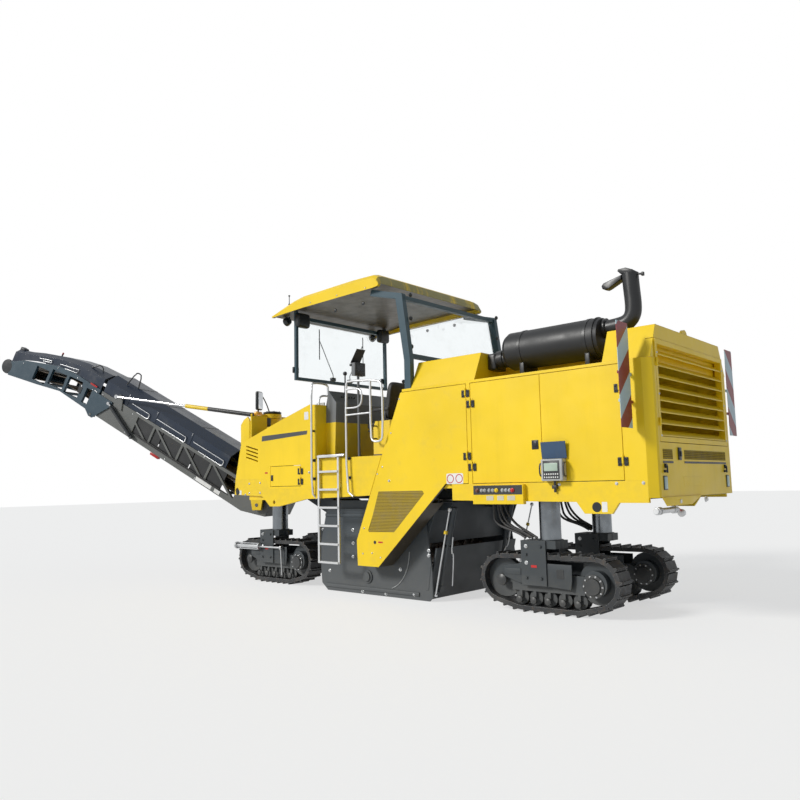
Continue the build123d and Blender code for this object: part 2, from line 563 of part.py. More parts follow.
def drum():
    body = rod((DRUM_X, DRUM_Y0, DRUM_Z), (DRUM_X, DRUM_Y1, DRUM_Z), DRUM_BODY_R)
    body -= rod((DRUM_X, DRUM_Y0 - 1, DRUM_Z), (DRUM_X, DRUM_Y0 + 200, DRUM_Z), 300)
    rings, per_ring = 15, 8
    spacing = (DRUM_Y1 - DRUM_Y0 - 110) / (rings - 1)
    picks = []
    for i in range(rings):
        y = DRUM_Y0 + 55 + spacing * i
        for k in range(per_ring):
            angle = 360 / per_ring * k + 17 * i
            pick = side_prism([(-60, DRUM_BODY_R - 20), (50, DRUM_BODY_R - 20), (70, DRUM_BODY_R + 50),
                               (96, PICK_TIP_R - 8), (70, PICK_TIP_R - 4), (0, DRUM_BODY_R + 40)], -26, 26)
            picks.append(Pos(DRUM_X, y, DRUM_Z) * Rot(0, angle, 0) * pick)
    shaft = rod((DRUM_X, DRUM_Y0 - DRUM_END_GAP - WALL_T, DRUM_Z), (DRUM_X, DRUM_Y1 + DRUM_END_GAP + WALL_T, DRUM_Z),
                DRUM_SHAFT_R)
    return fuse([body, shaft] + picks)


# ---------------------------------------------------------------- legs and tracks
def leg(x, y):
    """Lifting column; it slides in its sleeve and carries the steered track."""
    return rod((x, y, YOKE_Z1), (x, y, 1900), LEG_R)


def hull_path(circles, n=24):
    """Outer belt line round circles (x, z, r) as a closed list of points."""
    pts = []
    for cx, cz, r in circles:
        for i in range(n):
            a = 2 * math.pi * i / n
            pts.append((cx + r * math.cos(a), cz + r * math.sin(a)))
    pts = sorted(set((round(a, 4), round(b, 4)) for a, b in pts))

    def turn(o, a, b):
        return (a[0] - o[0]) * (b[1] - o[1]) - (a[1] - o[1]) * (b[0] - o[0])

    lower, upper = [], []
    for chain, seq in ((lower, pts), (upper, reversed(pts))):
        for p in seq:
            while len(chain) > 1 and turn(chain[-2], chain[-1], p) <= 0:
                chain.pop()
            chain.append(p)
    return lower[:-1] + upper[:-1]


def along(path, distance):
    """Point and unit direction at a distance along a closed line."""
    n = len(path)
    i = 0
    while True:
        a, b = path[i % n], path[(i + 1) % n]
        length = math.hypot(b[0] - a[0], b[1] - a[1])
        if distance <= length:
            t = distance / length
            return (a[0] + (b[0] - a[0]) * t, a[1] + (b[1] - a[1]) * t), ((b[0] - a[0]) / length, (b[1] - a[1]) / length)
        distance -= length
        i += 1


SHOES = 30


def track_loop():
    """Closed track about the column's axis, each shoe a step with its grouser in the outline."""
    chain = 40
    circles = [(IDLER_DX, IDLER_Z, IDLER_R + chain), (SPROCKET_DX, SPROCKET_Z, SPROCKET_R + chain),
               (400, ROLLER_Z, ROLLER_R + 28), (-400, ROLLER_Z, ROLLER_R + 28)]
    path = hull_path(circles)
    total = sum(math.hypot(path[i][0] - path[i - 1][0], path[i][1] - path[i - 1][1]) for i in range(len(path)))
    pitch = total / SHOES
    outer = []
    for k in range(SHOES):
        for share, height in ((0.02, 0), (0.04, SHOE_T), (0.70, SHOE_T), (0.72, SHOE_T + GROUSER),
                              (0.86, SHOE_T + GROUSER), (0.88, SHOE_T), (0.96, SHOE_T), (0.98, 0)):
            (x, z), (dx, dz) = along(path, (k + share) * pitch)
            outer.append((x + dz * height, z - dx * height))
    inner = hull_path([(x, z, r - chain + 12) for x, z, r in circles])
    return outer, inner


OUTER, INNER = track_loop()
FLOOR_LIFT = -min(z for _, z in OUTER)


def track_shoes(x, y):
    loop = side_prism([(a, b + FLOOR_LIFT) for a, b in OUTER], -TRACK_W / 2, TRACK_W / 2)
    loop -= side_prism([(a, b + FLOOR_LIFT) for a, b in INNER], -TRACK_W / 2 - 1, TRACK_W / 2 + 1)
    return Pos(x, y, 0) * loop


def track_frame(x, y):
    """Track frame with its idler, sprocket, rollers, side bracket and the yoke below the column."""
    side = 1 if y > 0 else -1
    lift = FLOOR_LIFT
    narrow = 95
    frame = block(-480, 520, -narrow, narrow, 250 + lift, 470 + lift)
    idler = rod((IDLER_DX, -45, IDLER_Z + lift), (IDLER_DX, 45, IDLER_Z + lift), IDLER_R + 8)
    sprocket = rod((SPROCKET_DX, -45, SPROCKET_Z + lift), (SPROCKET_DX, 45, SPROCKET_Z + lift), SPROCKET_R + 8)
    motor = rod((SPROCKET_DX, -150, SPROCKET_Z + lift), (SPROCKET_DX, 150, SPROCKET_Z + lift), 150)
    fork = block(480, IDLER_DX + 60, -narrow, narrow, IDLER_Z + lift - 50, IDLER_Z + lift + 50)
    arm = block(-560, -400, -narrow, narrow, 300 + lift, 460 + lift)
    rollers = [rod((dx, -60, ROLLER_Z + lift), (dx, 60, ROLLER_Z + lift), ROLLER_R - 1.5) for dx in (-400, -200, 0, 200, 400)]
    axles = [block(dx - 20, dx + 20, -narrow, narrow, ROLLER_Z + lift, 300 + lift) for dx in (-400, -200, 0, 200, 400)]
    outside = TRACK_W / 2 + 6
    brackets = []
    for s in (1, -1):
        y0, y1 = sorted((s * outside, s * (outside + 16)))
        brackets.append(block(-20, 330, y0, y1, 330, YOKE_Z1 - 10))
        z0, z1 = sorted((s * narrow, s * (outside + 16)))
        brackets.append(block(20, 290, z0, z1, 345, 420))
    yoke = block(-20, 330, -outside - 16, outside + 16, YOKE_Z0 + 30, YOKE_Z1 - 10)
    cap = rod((0, 0, YOKE_Z0 + 30), (0, 0, YOKE_Z1 - 0.3), LEG_R + 25).fuse(block(-150, 150, -150, 150, YOKE_Z0 + 30, YOKE_Z1 - 10))
    shape = fuse([frame, idler, sprocket, motor, fork, arm, yoke, cap] + rollers + axles + brackets)
    return Pos(x, y, 0) * shape


# ---------------------------------------------------------------- discharge conveyor
SLEWED = Pos(SLEW_X, 0, 0) * Rot(0, 0, SLEW_DEG)
LUFFED = Pos(SLEW_X, 0, LUFF_Z) * Rot(0, 0, SLEW_DEG) * Rot(0, -PITCH_DEG, 0)
PIN_R = 32


def slew_bracket():
    """Cap, shaft and ring that turn in the post, with the arms that carry the conveyor."""
    cap = rod((0, 0, CAP_Z0), (0, 0, CAP_Z1), 175)
    shaft = rod((0, 0, 2120), (0, 0, CAP_Z1), SHAFT_R)
    ring = rod((0, 0, 2120), (0, 0, TOWER_Z0 - GAP), 420)
    lid = block(-120, 120, -ARM_Y1, ARM_Y1, 2120, TOWER_Z0 - GAP)
    arms = [side_prism([(-150, TOWER_Z0 - GAP), (150, TOWER_Z0 - GAP), (150, 1500), (90, 1180), (-90, 1180), (-150, 1500)],
                       s * ARM_Y0, s * ARM_Y1) for s in (1, -1)]
    bores = rod((0, -ARM_Y1 - 5, LUFF_Z), (0, ARM_Y1 + 5, LUFF_Z), PIN_R + PIN_FIT)
    bar = block(20, 110, -STAY_Y + 60, STAY_Y - 60, CAP_Z0 + 10, CAP_Z1 - 10)
    pins = [rod((65, s * (STAY_Y - 70), STAY_Z), (65, s * (STAY_Y + 30), STAY_Z), 20) for s in (1, -1)]
    return SLEWED * (fuse([cap, shaft, ring, lid, bar] + arms + pins) - bores)


STAY_Z = (CAP_Z0 + CAP_Z1) / 2
CLEVIS_U, CLEVIS_W = 3884, 330
STAY_EYE, FOLD_EYE = 24, 20         # half thickness of the rods' eyes
EYE_GAP = 0.5


HINGE_W, HINGE_R = TRUSS_LOW - 30, 26
TAIL_U, TAIL_LOW = -200, -130        # the underside rises towards the tail


def conveyor_truss():
    """Main section of the truss, from the tail hopper to the fold hinge."""
    pieces = []
    for s in (1, -1):
        y0, y1 = sorted((s * (TRUSS_HALF_W - CHORD), s * TRUSS_HALF_W))
        pieces.append(block(300, FOLD_U - 30, y0, y1, TRUSS_LOW, TRUSS_LOW + 110))
        pieces.append(block(500, FOLD_U - 30, y0, y1, TRUSS_TOP - CHORD, TRUSS_TOP))
        pieces.append(side_prism([(TAIL_U, TAIL_LOW), (300, TRUSS_LOW), (560, TRUSS_LOW), (560, TRUSS_TOP),
                                  (TAIL_U, TRUSS_TOP)], y0, y1))
        bays = 5
        step = (FOLD_U - 30 - 560) / bays
        for i in range(bays):
            u = 560 + step * (i + 1) - 25
            pieces.append(block(u - 25, u + 25, y0, y1, TRUSS_LOW + 60, TRUSS_TOP - 20))
            pieces.append(strut(u - step + 60, TRUSS_LOW + 90, u, TRUSS_TOP - 30, 40, y0, y1))
        pieces.append(block(3300, FOLD_U - 30, y0, y1, TRUSS_LOW, TRUSS_TOP))
        z0, z1 = sorted((s * (TRUSS_HALF_W - 10), s * (ARM_Y1 + 4)))
        pieces.append(rod((0, z0, 0), (0, z1, 0), PIN_R))
        c0, c1 = sorted((s * TRUSS_HALF_W, s * (TRUSS_HALF_W + 20)))
        pieces.append(side_prism([(CLEVIS_U - 150, 100), (CLEVIS_U + 100, 100), (CLEVIS_U + 50, CLEVIS_W + 45),
                                  (CLEVIS_U - 50, CLEVIS_W + 45)], c0, c1))
        p0, p1 = sorted((s * (TRUSS_HALF_W + 5), s * (STAY_Y - STAY_EYE - EYE_GAP)))
        pieces.append(rod((CLEVIS_U, p0, CLEVIS_W), (CLEVIS_U, p1, CLEVIS_W), 26))
        q0, q1 = sorted((s * (TRUSS_HALF_W - 10), s * (FOLD_Y + 20)))
        pieces.append(rod((FOLD_BASE_U, q0, FOLD_BASE_W), (FOLD_BASE_U, q1, FOLD_BASE_W), 16))
        h0, h1 = sorted((s * (TRUSS_HALF_W - 10), s * (TRUSS_HALF_W + GAP + 26)))
        pieces.append(rod((FOLD_U, h0, HINGE_W), (FOLD_U, h1, HINGE_W), HINGE_R))
        pieces.append(block(FOLD_U - 60, FOLD_U + HINGE_R, *sorted((s * (TRUSS_HALF_W - CHORD), s * TRUSS_HALF_W)),
                            HINGE_W - HINGE_R, TRUSS_LOW + 30))
    for u in (600, 1700, 2800, 3900):
        pieces.append(block(u, u + 60, -TRUSS_HALF_W + CHORD - 5, TRUSS_HALF_W - CHORD + 5, TRUSS_LOW, TRUSS_LOW + 40))
    pieces.append(block(TAIL_U, TAIL_U + 20, -TRUSS_HALF_W + CHORD - 5, TRUSS_HALF_W - CHORD + 5, TAIL_LOW, TRUSS_TOP))
    return LUFFED * fuse(pieces)


PULLEY_U = -78


def conveyor_belt():
    """Belt of the main section as a flat closed band round its tail pulley."""
    loop = block(PULLEY_U, FOLD_U - 60, -BELT_HALF_W, BELT_HALF_W, -90, -76)
    upper = block(PULLEY_U, FOLD_U - 60, -BELT_HALF_W, BELT_HALF_W, 90, 104)
    pulley = rod((PULLEY_U, -BELT_HALF_W, 7), (PULLEY_U, BELT_HALF_W, 7), 97)
    axle = rod((PULLEY_U, -TRUSS_HALF_W + CHORD, 7), (PULLEY_U, TRUSS_HALF_W - CHORD, 7), 25)
    return LUFFED * fuse([loop, upper, pulley, axle])


def arch(half, low, top, sheet):
    """Half-oval section of a cover in Y and Z with its inside taken out."""
    def curve(h, t):
        return [(h * math.cos(math.radians(a)), low + (t - low) * math.sin(math.radians(a))) for a in range(0, 181, 15)]
    return curve(half, top), curve(half - sheet, top - sheet)


def conveyor_cover():
    outer, inner = arch(TRUSS_HALF_W - 10, TRUSS_TOP, COVER_TOP, 12)
    return LUFFED * (end_prism(outer, 980, FOLD_U - 40) - end_prism([(y, z - 1) for y, z in inner], 970, FOLD_U))


NOSE_LOW = [(FOLD_U + 30, TRUSS_LOW), (5450, -262), (6120, -414), (6997, -590)]
NOSE_TOP = [(7060, -300), (6700, -110), (5731, 190), (5213, 240), (FOLD_U + 30, TRUSS_TOP)]
HEAD_U, HEAD_W = 6990, -440


def nose_truss():
    sides = []
    for s in (1, -1):
        y0, y1 = sorted((s * (TRUSS_HALF_W - CHORD), s * TRUSS_HALF_W))
        plate = side_prism(NOSE_LOW + NOSE_TOP, y0, y1)
        for a, b, low, top in ((4560, 4800, -180, 140), (4950, 5350, -190, 170), (5420, 5850, -220, 110), (5920, 6300, -330, -20)):
            plate -= side_prism([(a, low), (b, low - (b - a) * 0.1), (b, top - (b - a) * 0.1), (a, top)], y0 - 1, y1 + 1)
        lever = side_prism([(FOLD_U - 60, HINGE_W - 45), (FOLD_U + 40, HINGE_W - 45), (FOLD_U + 200, TRUSS_LOW + 20), (FOLD_U + 200, 150), (LEVER_U - 50, LEVER_W + 50),
                            (LEVER_U - 50, LEVER_W - 40)], s * (TRUSS_HALF_W + GAP), s * (TRUSS_HALF_W + GAP + 20))
        link = block(FOLD_U + 40, FOLD_U + 190, *sorted((s * (TRUSS_HALF_W - 10), s * (TRUSS_HALF_W + GAP + 5))), -200, 100)
        lever -= rod((FOLD_U, -600, HINGE_W), (FOLD_U, 600, HINGE_W), HINGE_R + PIN_FIT)
        e0, e1 = sorted((s * (TRUSS_HALF_W + GAP + 5), s * (FOLD_Y - FOLD_EYE - EYE_GAP)))
        pin = rod((LEVER_U, e0, LEVER_W), (LEVER_U, e1, LEVER_W), 22)
        sides += [plate, lever, link, pin]
    cross = [block(u, u + 60, -TRUSS_HALF_W + CHORD - 5, TRUSS_HALF_W - CHORD + 5, w, w + 40)
             for u, w in ((FOLD_U + 40, TRUSS_LOW), (5300, -262), (6100, -405))]
    return LUFFED * fuse(sides + cross)


LEVER_U, LEVER_W = FOLD_U - 350, 100


def nose_belt():
    top = [(FOLD_U + 40, 90), (5300, 90), (7000, -330)]
    low = [(6990, -560), (5300, -90), (FOLD_U + 40, -90)]
    belt = side_prism(top + low, -BELT_HALF_W, BELT_HALF_W) - side_prism(
        [(FOLD_U + 20, 76), (5298, 76), (6880, -315), (6880, -520), (5298, -76), (FOLD_U + 20, -76)],
        -BELT_HALF_W - 1, BELT_HALF_W + 1)
    head = rod((HEAD_U, -TRUSS_HALF_W + CHORD, HEAD_W), (HEAD_U, TRUSS_HALF_W - CHORD, HEAD_W), 120)
    return LUFFED * fuse([belt, head])


NOSE_RIDGE = [(FOLD_U + 40, 580), (5213, 522), (5731, 420), (6700, 110), (7060, 12)]    # u, ridge of the cover


def nose_top(u):
    """Height of the nose's upper edge."""
    for (u1, w1), (u0, w0) in zip(NOSE_TOP, NOSE_TOP[1:]):
        if u0 <= u <= u1:
            return w0 + (w1 - w0) * (u - u0) / (u1 - u0)
    raise ValueError(u)


def nose_cover():
    """Domed cover that follows the bent nose."""
    outer, inner = [], []
    for u, top in NOSE_RIDGE:
        out, hollow = arch(TRUSS_HALF_W - 10, nose_top(u) + 0.1, top, 12)
        outer.append(Pos(u, 0, 0) * Rot(0, 0, 90) * Rot(90, 0, 0) * outline(out))
        inner.append(Pos(u, 0, 0) * Rot(0, 0, 90) * Rot(90, 0, 0) * outline([(y, z - 1) for y, z in hollow]))
    return LUFFED * (loft(outer, ruled=True) - loft(inner, ruled=True))


def stay_frame():
    """Direction of the stays in the conveyor's upright plane, and their rest length."""
    c, s = math.cos(math.radians(PITCH_DEG)), math.sin(math.radians(PITCH_DEG))
    eye = (CLEVIS_U * c - CLEVIS_W * s, LUFF_Z + CLEVIS_U * s + CLEVIS_W * c)
    dx, dz = eye[0] - 65, eye[1] - STAY_Z
    return math.degrees(math.atan2(dz, dx)), math.hypot(dx, dz)


STAY_TILT, STAY_LENGTH = stay_frame()
STAYED = SLEWED * Pos(65, 0, STAY_Z) * Rot(0, -STAY_TILT, 0)
STAY_BARREL = 1500


def stay_barrels():
    """Luffing cylinders with the long eyes that hang them on the slewing cap."""
    out = []
    for s in (1, -1):
        y = s * STAY_Y
        eye = rod((0, y - 14, 0), (0, y + 14, 0), 42)
        barrel = rod((30, y, 0), (STAY_BARREL, y, 0), 38)
        shape = fuse([eye, barrel]) - rod((0, y - 40, 0), (0, y + 40, 0), 20 + PIN_FIT)
        out.append(STAYED * (shape - rod((300, y, 0), (STAY_BARREL + 5, y, 0), 22 + PIN_FIT)))
    return out


def stay_rods():
    out = []
    for s in (1, -1):
        y = s * STAY_Y
        eye = rod((STAY_LENGTH, y - STAY_EYE, 0), (STAY_LENGTH, y + STAY_EYE, 0), 40)
        shape = fuse([eye, rod((640, y, 0), (STAY_LENGTH - 25, y, 0), 22)])
        out.append(STAYED * shape)
    return out


FOLD_BASE_U, FOLD_BASE_W = 3220, -235
FOLD_Y = TRUSS_HALF_W + 60


def fold_frame():
    du, dw = LEVER_U - FOLD_BASE_U, LEVER_W - FOLD_BASE_W
    return math.degrees(math.atan2(dw, du)), math.hypot(du, dw)


FOLD_TILT, FOLD_LENGTH = fold_frame()
FOLDED = LUFFED * Pos(FOLD_BASE_U, 0, FOLD_BASE_W) * Rot(0, -FOLD_TILT, 0)


def fold_barrels():
    out = []
    for s in (1, -1):
        y = s * FOLD_Y
        shape = fuse([rod((0, y - 14, 0), (0, y + 14, 0), 36), rod((30, y, 0), (830, y, 0), 34)])
        shape -= rod((0, y - 40, 0), (0, y + 40, 0), 16 + PIN_FIT)
        out.append(FOLDED * (shape - rod((60, y, 0), (840, y, 0), 18 + PIN_FIT)))
    return out


def fold_rods():
    out = []
    for s in (1, -1):
        y = s * FOLD_Y
        eye = rod((FOLD_LENGTH, y - FOLD_EYE, 0), (FOLD_LENGTH, y + FOLD_EYE, 0), 32)
        out.append(FOLDED * fuse([eye, rod((90, y, 0), (FOLD_LENGTH - 25, y, 0), 18)]))
    return out


PICKUP_HALF_W = 300


def pickup_conveyor():
    """Trough that lifts the millings from the drum to the slewing conveyor."""
    end = SLEW_X - 610      # clear of the ends of the slewing arms' lid
    trough = side_prism([(1526, 480), (1526, 760), (2400, 1330), (end - 50, 1955), (end, 1900), (end, 1730), (end - 80, 1665),
                         (2480, 1075)], -PICKUP_HALF_W, PICKUP_HALF_W)
    brackets = [block(2950, 3050, y0, y1, 1420, 1540)
                for y0, y1 in ((-BEAM_Y0, -PICKUP_HALF_W), (PICKUP_HALF_W, BEAM_Y0))]
    return fuse([trough] + brackets)


# ---------------------------------------------------------------- write
def main():
    os.makedirs("parts", exist_ok=True)
    part("main_frame", main_frame())
    part("front_hood", front_hood())
    part("engine_hood", engine_hood())
    part("engine_block", engine_block())
    part("rear_grille", rear_grille())
    part("engine_door_left_rear", engine_door(DOOR_REAR_X, DOOR_SPLIT_X - GAP / 2, DOOR_REAR_X, -1))
    part("engine_door_left_front", engine_door(DOOR_SPLIT_X + GAP / 2, DOOR_FRONT_X, DOOR_FRONT_X, 1))
    part("engine_door_right_rear", mirrored(engine_door(DOOR_REAR_X, DOOR_SPLIT_X - GAP / 2, DOOR_REAR_X, -1)))
    part("engine_door_right_front", mirrored(engine_door(DOOR_SPLIT_X + GAP / 2, DOOR_FRONT_X, DOOR_FRONT_X, 1)))
    part("belt_door_left", belt_door())
    part("side_door_right", side_door())
    part("front_door_left", front_door())
    part("front_door_right", mirrored(front_door()))
    part("platform", platform())
    part("control_console", *control_console())
    part("seat_left", seat())
    part("seat_right", mirrored(seat()))
    part("canopy_roof", canopy_roof())
    part("canopy_frame", *canopy_frame())
    part("canopy_glass", *canopy_glass())
    part("exhaust", exhaust())
    part("handrails", *[s for r in handrails() for s in (r, mirrored(r))])
    part("ladders", ladder(), mirrored(ladder()))
    panel, sockets = ground_panel()
    part("ground_panel", *panel)
    part("socket_box", *sockets)
    part("warning_boards", *warning_boards())
    part("tow_pipe", tow_pipe())
    part("drum_housing", drum_housing())
    part("edge_plate_left", edge_plate(DRUM_Y1 + DRUM_END_GAP + WALL_T + GAP, DRUM_Y1 + DRUM_END_GAP + WALL_T + GAP + PLATE_T))
    part("edge_plate_right", edge_plate(DRUM_Y0 - DRUM_END_GAP - WALL_T - GAP - PLATE_T, DRUM_Y0 - DRUM_END_GAP - WALL_T - GAP))
    part("scraper", scraper())
    part("drum", drum())
    for where, x in (("front", FRONT_AXLE_X), ("rear", REAR_AXLE_X)):
        for side, y in (("left", TRACK_Y), ("right", -TRACK_Y)):
            part(f"leg_{where}_{side}", leg(x, y))
            part(f"track_shoes_{where}_{side}", track_shoes(x, y))
            part(f"track_frame_{where}_{side}", track_frame(x, y))
    part("slew_bracket", slew_bracket())
    part("conveyor_truss", conveyor_truss())
    part("conveyor_belt", conveyor_belt())
    part("conveyor_cover", conveyor_cover())
    part("nose_truss", nose_truss())
    part("nose_belt", nose_belt())
    part("nose_cover", nose_cover())
    part("stay_barrels", *stay_barrels())
    part("stay_rods", *stay_rods())
    part("fold_barrels", *fold_barrels())
    part("fold_rods", *fold_rods())
    part("pickup_conveyor", pickup_conveyor())
    for name, shape in PARTS.items():
        export_step(shape, f"parts/{name}.step")


main()
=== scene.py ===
"""Looks of a tracked cold planer: finishes for its solid parts and the small pieces that sit on them."""
import json
import math

import bmesh
import bpy
from bpy.props import FloatProperty, FloatVectorProperty
from mathutils import Matrix, Vector


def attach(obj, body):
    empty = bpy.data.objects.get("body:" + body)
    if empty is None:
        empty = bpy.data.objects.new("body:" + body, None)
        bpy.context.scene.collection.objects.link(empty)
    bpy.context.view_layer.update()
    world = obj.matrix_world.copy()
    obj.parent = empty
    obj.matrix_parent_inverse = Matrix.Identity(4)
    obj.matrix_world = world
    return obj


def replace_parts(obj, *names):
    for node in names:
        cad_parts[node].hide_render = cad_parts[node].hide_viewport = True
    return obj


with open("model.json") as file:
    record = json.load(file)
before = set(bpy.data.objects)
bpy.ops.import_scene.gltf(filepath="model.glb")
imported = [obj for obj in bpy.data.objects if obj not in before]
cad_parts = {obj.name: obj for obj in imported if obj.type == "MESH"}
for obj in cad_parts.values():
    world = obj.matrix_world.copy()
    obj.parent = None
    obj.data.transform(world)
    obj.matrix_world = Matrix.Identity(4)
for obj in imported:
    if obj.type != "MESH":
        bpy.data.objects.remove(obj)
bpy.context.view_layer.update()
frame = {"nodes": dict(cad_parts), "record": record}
NODES = frame["nodes"]

bl_info = {
    "name": "Cold Planer Looks",
    "version": (1, 0, 0),
    "blender": (4, 5, 0),
    "location": "View3D > Sidebar > Planer",
    "description": "Finishes, fittings and stage for a tracked cold planer",
    "category": "Object",
}

# ---------------------------------------------------------------- measures shared by several pieces, in metres
SIDES = (("left", 1), ("right", -1))
BOTH = (1, -1)
HALF_W = 1.21                      # outer faces of doors and hoods
SILL_Y, POST_X = 1.165, 3.78       # where the sills and the slewing post begin
REAR_X = -3.45                     # rear face of the engine hood
RAIL_Y, RAILS_X = 1.268, (1.893, 1.13)
RAIL_TUBE, LOOP_TUBE = 0.017, 0.014
SLEW_X, LUFF_Z = 4.45, 1.27        # pivots of the conveyor
SLEW, PITCH = math.radians(20.0), math.radians(29.0)
SLEWED = Matrix.Translation((SLEW_X, 0, 0)) @ Matrix.Rotation(SLEW, 4, "Z")
LUFFED = Matrix.Translation((SLEW_X, 0, LUFF_Z)) @ Matrix.Rotation(SLEW, 4, "Z") @ Matrix.Rotation(-PITCH, 4, "Y")
TRUSS_Y = 0.452                    # outer face of the conveyor's side frames
COVER_Y = 0.458                    # grab loops beside the belt covers
COVER_JOINTS = (1.95, 2.9, 3.7)
ENDS = (("front", 3.37), ("rear", -1.85))
TRACK_Y, WHEEL_X, WHEEL_Z = 0.685, 0.62, 0.37
HUB_OUT, BRACKET_OUT, PLATE_OUT = 0.15, 0.172, 0.142    # faces of a track unit, from its middle
BRACKET_BOLTS = ((0.255, 0.7), (0.05, 0.8), (0.05, 0.42), (0.255, 0.42))
TRACK_PLATE = ((0.6, 0.56), (0.6, 0.42), (0.38, 0.35), (-0.33, 0.31), (-0.35, 0.42), (-0.35, 0.6), (0.34, 0.6),
               (0.42, 0.57))
TRACK_RIB = ((0.58, 0.52), (0.58, 0.445), (0.35, 0.445), (0.35, 0.52))
# Outline of a window in a track plate, where a thin black sheet is painted shade
TRACK_WINDOW_SHADE = ((-0.245, 0.54), (-0.245, 0.43), (-0.15, 0.43), (-0.15, 0.54))

# Slot of the record that each extra look stands in for; other looks are named after their slot.
SLOT_OF = {look: slot for slot, looks in (
    ("bright_steel", "zinc"), ("yellow", "screen_olive stripe roof"), ("dark_rubber", "grit hose hose_pale"),
    ("pane", "reflector mirror screen_dark"), ("black_steel", "muffler black_satin"),
    ("cylinder_yellow", "signal_red amber"), ("board_white", "label_white label_red cream"),
    ("panel_grey", "panel_dark light_grey blue display brown")) for look in looks.split()}
DUST = (0.2, 0.19, 0.175)


# ---------------------------------------------------------------- materials
def grey(value):
    return (value,) * 3


def scaled(colour, k):
    return tuple(min(1.0, c * k) for c in colour)


class Graph:
    """Short way to wire the nodes of a material or of the world."""

    def __init__(self, name, world=False):
        self.owner = bpy.data.worlds.new(name) if world else bpy.data.materials.new(name)
        self.owner.use_nodes = True
        self.tree = self.owner.node_tree
        self.tree.nodes.clear()
        self.place = self.add("ShaderNodeTexCoord").outputs["Object"]

    def add(self, kind, inputs=(), **settings):
        """New node with its settings; an input is a socket to link or a value, and colours get their alpha here."""
        node = self.tree.nodes.new(kind)
        for key, value in settings.items():
            setattr(node, key, value)
        for key, value in dict(inputs).items():
            socket = node.inputs[key]
            if isinstance(value, bpy.types.NodeSocket):
                self.tree.links.new(value, socket)
            else:
                socket.default_value = (*value, 1.0) if socket.type == "RGBA" else value
        return node

    def split(self, value):
        return self.add("ShaderNodeSeparateXYZ", {0: value}).outputs

    def facing(self):
        return self.split(self.add("ShaderNodeNewGeometry").outputs["True Normal"])

    def stretched(self, scale):
        return self.add("ShaderNodeMapping", {"Vector": self.place, "Scale": scale}).outputs[0]

    def noise(self, scale, detail=3.0, rough=0.55, where=None, distort=0.0):
        return self.add("ShaderNodeTexNoise", {"Vector": where or self.place, "Scale": scale, "Detail": detail,
                                               "Roughness": rough, "Distortion": distort}).outputs["Fac"]

    def remap(self, value, lo, hi, to_lo=0.0, to_hi=1.0):
        return self.add("ShaderNodeMapRange", {"Value": value, "From Min": lo, "From Max": hi, "To Min": to_lo,
                                               "To Max": to_hi}, clamp=True).outputs[0]

    def math(self, op, a, b=0.5, clamp=False):
        return self.add("ShaderNodeMath", {0: a, 1: b}, operation=op, use_clamp=clamp).outputs[0]

    def times(self, a, b, clamp=False):
        return self.math("MULTIPLY", a, b, clamp)

    def mix(self, share, a, b):
        return self.add("ShaderNodeMix", {0: share, 6: a, 7: b}, data_type="RGBA").outputs[2]

    def blend(self, share, a, b):
        """Mix of two shaders."""
        return self.add("ShaderNodeMixShader", {0: share, 1: a.outputs[0], 2: b.outputs[0]})

    def dusted(self, base, cloud, lo, hi, share, colour=DUST):
        return self.mix(self.times(self.remap(cloud, lo, hi), share), base, colour)

    def film(self, patch, height, top, low, share):
        """Mask of road dust that thins with height and lies in patches."""
        rising = self.math("ADD", self.remap(height, top, low), self.times(patch, 0.9))
        return self.times(self.remap(rising, 0.62, 1.6), share, True)

    def soft(self, radius=0.003):
        return self.add("ShaderNodeBevel", {"Radius": radius}, samples=4).outputs[0]

    def edges(self, radius=0.006):
        """Mask that is 1 along sharp edges, with the softened normal."""
        soft = self.soft(radius)
        hard = self.add("ShaderNodeNewGeometry").outputs["Normal"]
        dot = self.add("ShaderNodeVectorMath", {0: soft, 1: hard}, operation="DOT_PRODUCT").outputs["Value"]
        return self.remap(dot, 0.995, 0.9), soft

    def rubbed(self, base, wear, bare):
        """Paint rubbed down to another colour in places along its edges."""
        mask, soft = self.edges()
        worn = self.times(mask, self.remap(self.noise(38.0, 3), 0.55, 0.72), True)
        return self.mix(self.times(worn, wear), base, bare), soft

    def bump(self, height, strength, distance, normal=None):
        inputs = {"Height": height, "Strength": strength, "Distance": distance}
        if normal is not None:
            inputs["Normal"] = normal
        return self.add("ShaderNodeBump", inputs).outputs[0]

    def close(self, shader, kind="Material"):
        self.add("ShaderNodeOutput" + kind, {0: shader.outputs[0]})
        return self.owner

    def shade(self, colour, rough, metal, normal):
        return self.close(self.add("ShaderNodeBsdfPrincipled", {"Base Color": colour, "Roughness": rough,
                                                                "Metallic": metal, "Normal": normal}))

    def coat(self, colour, cloud, top, gloss, grain, depth, height, soft=None, detail=2):
        """Closes a dull finish: roughness follows a cloud, with a fine grain and softened edges."""
        soft = self.soft() if soft is None else soft
        return self.shade(colour, self.remap(cloud, 0.3, top, *gloss), 0.0,
                          self.bump(self.noise(grain, detail), depth, height, soft))


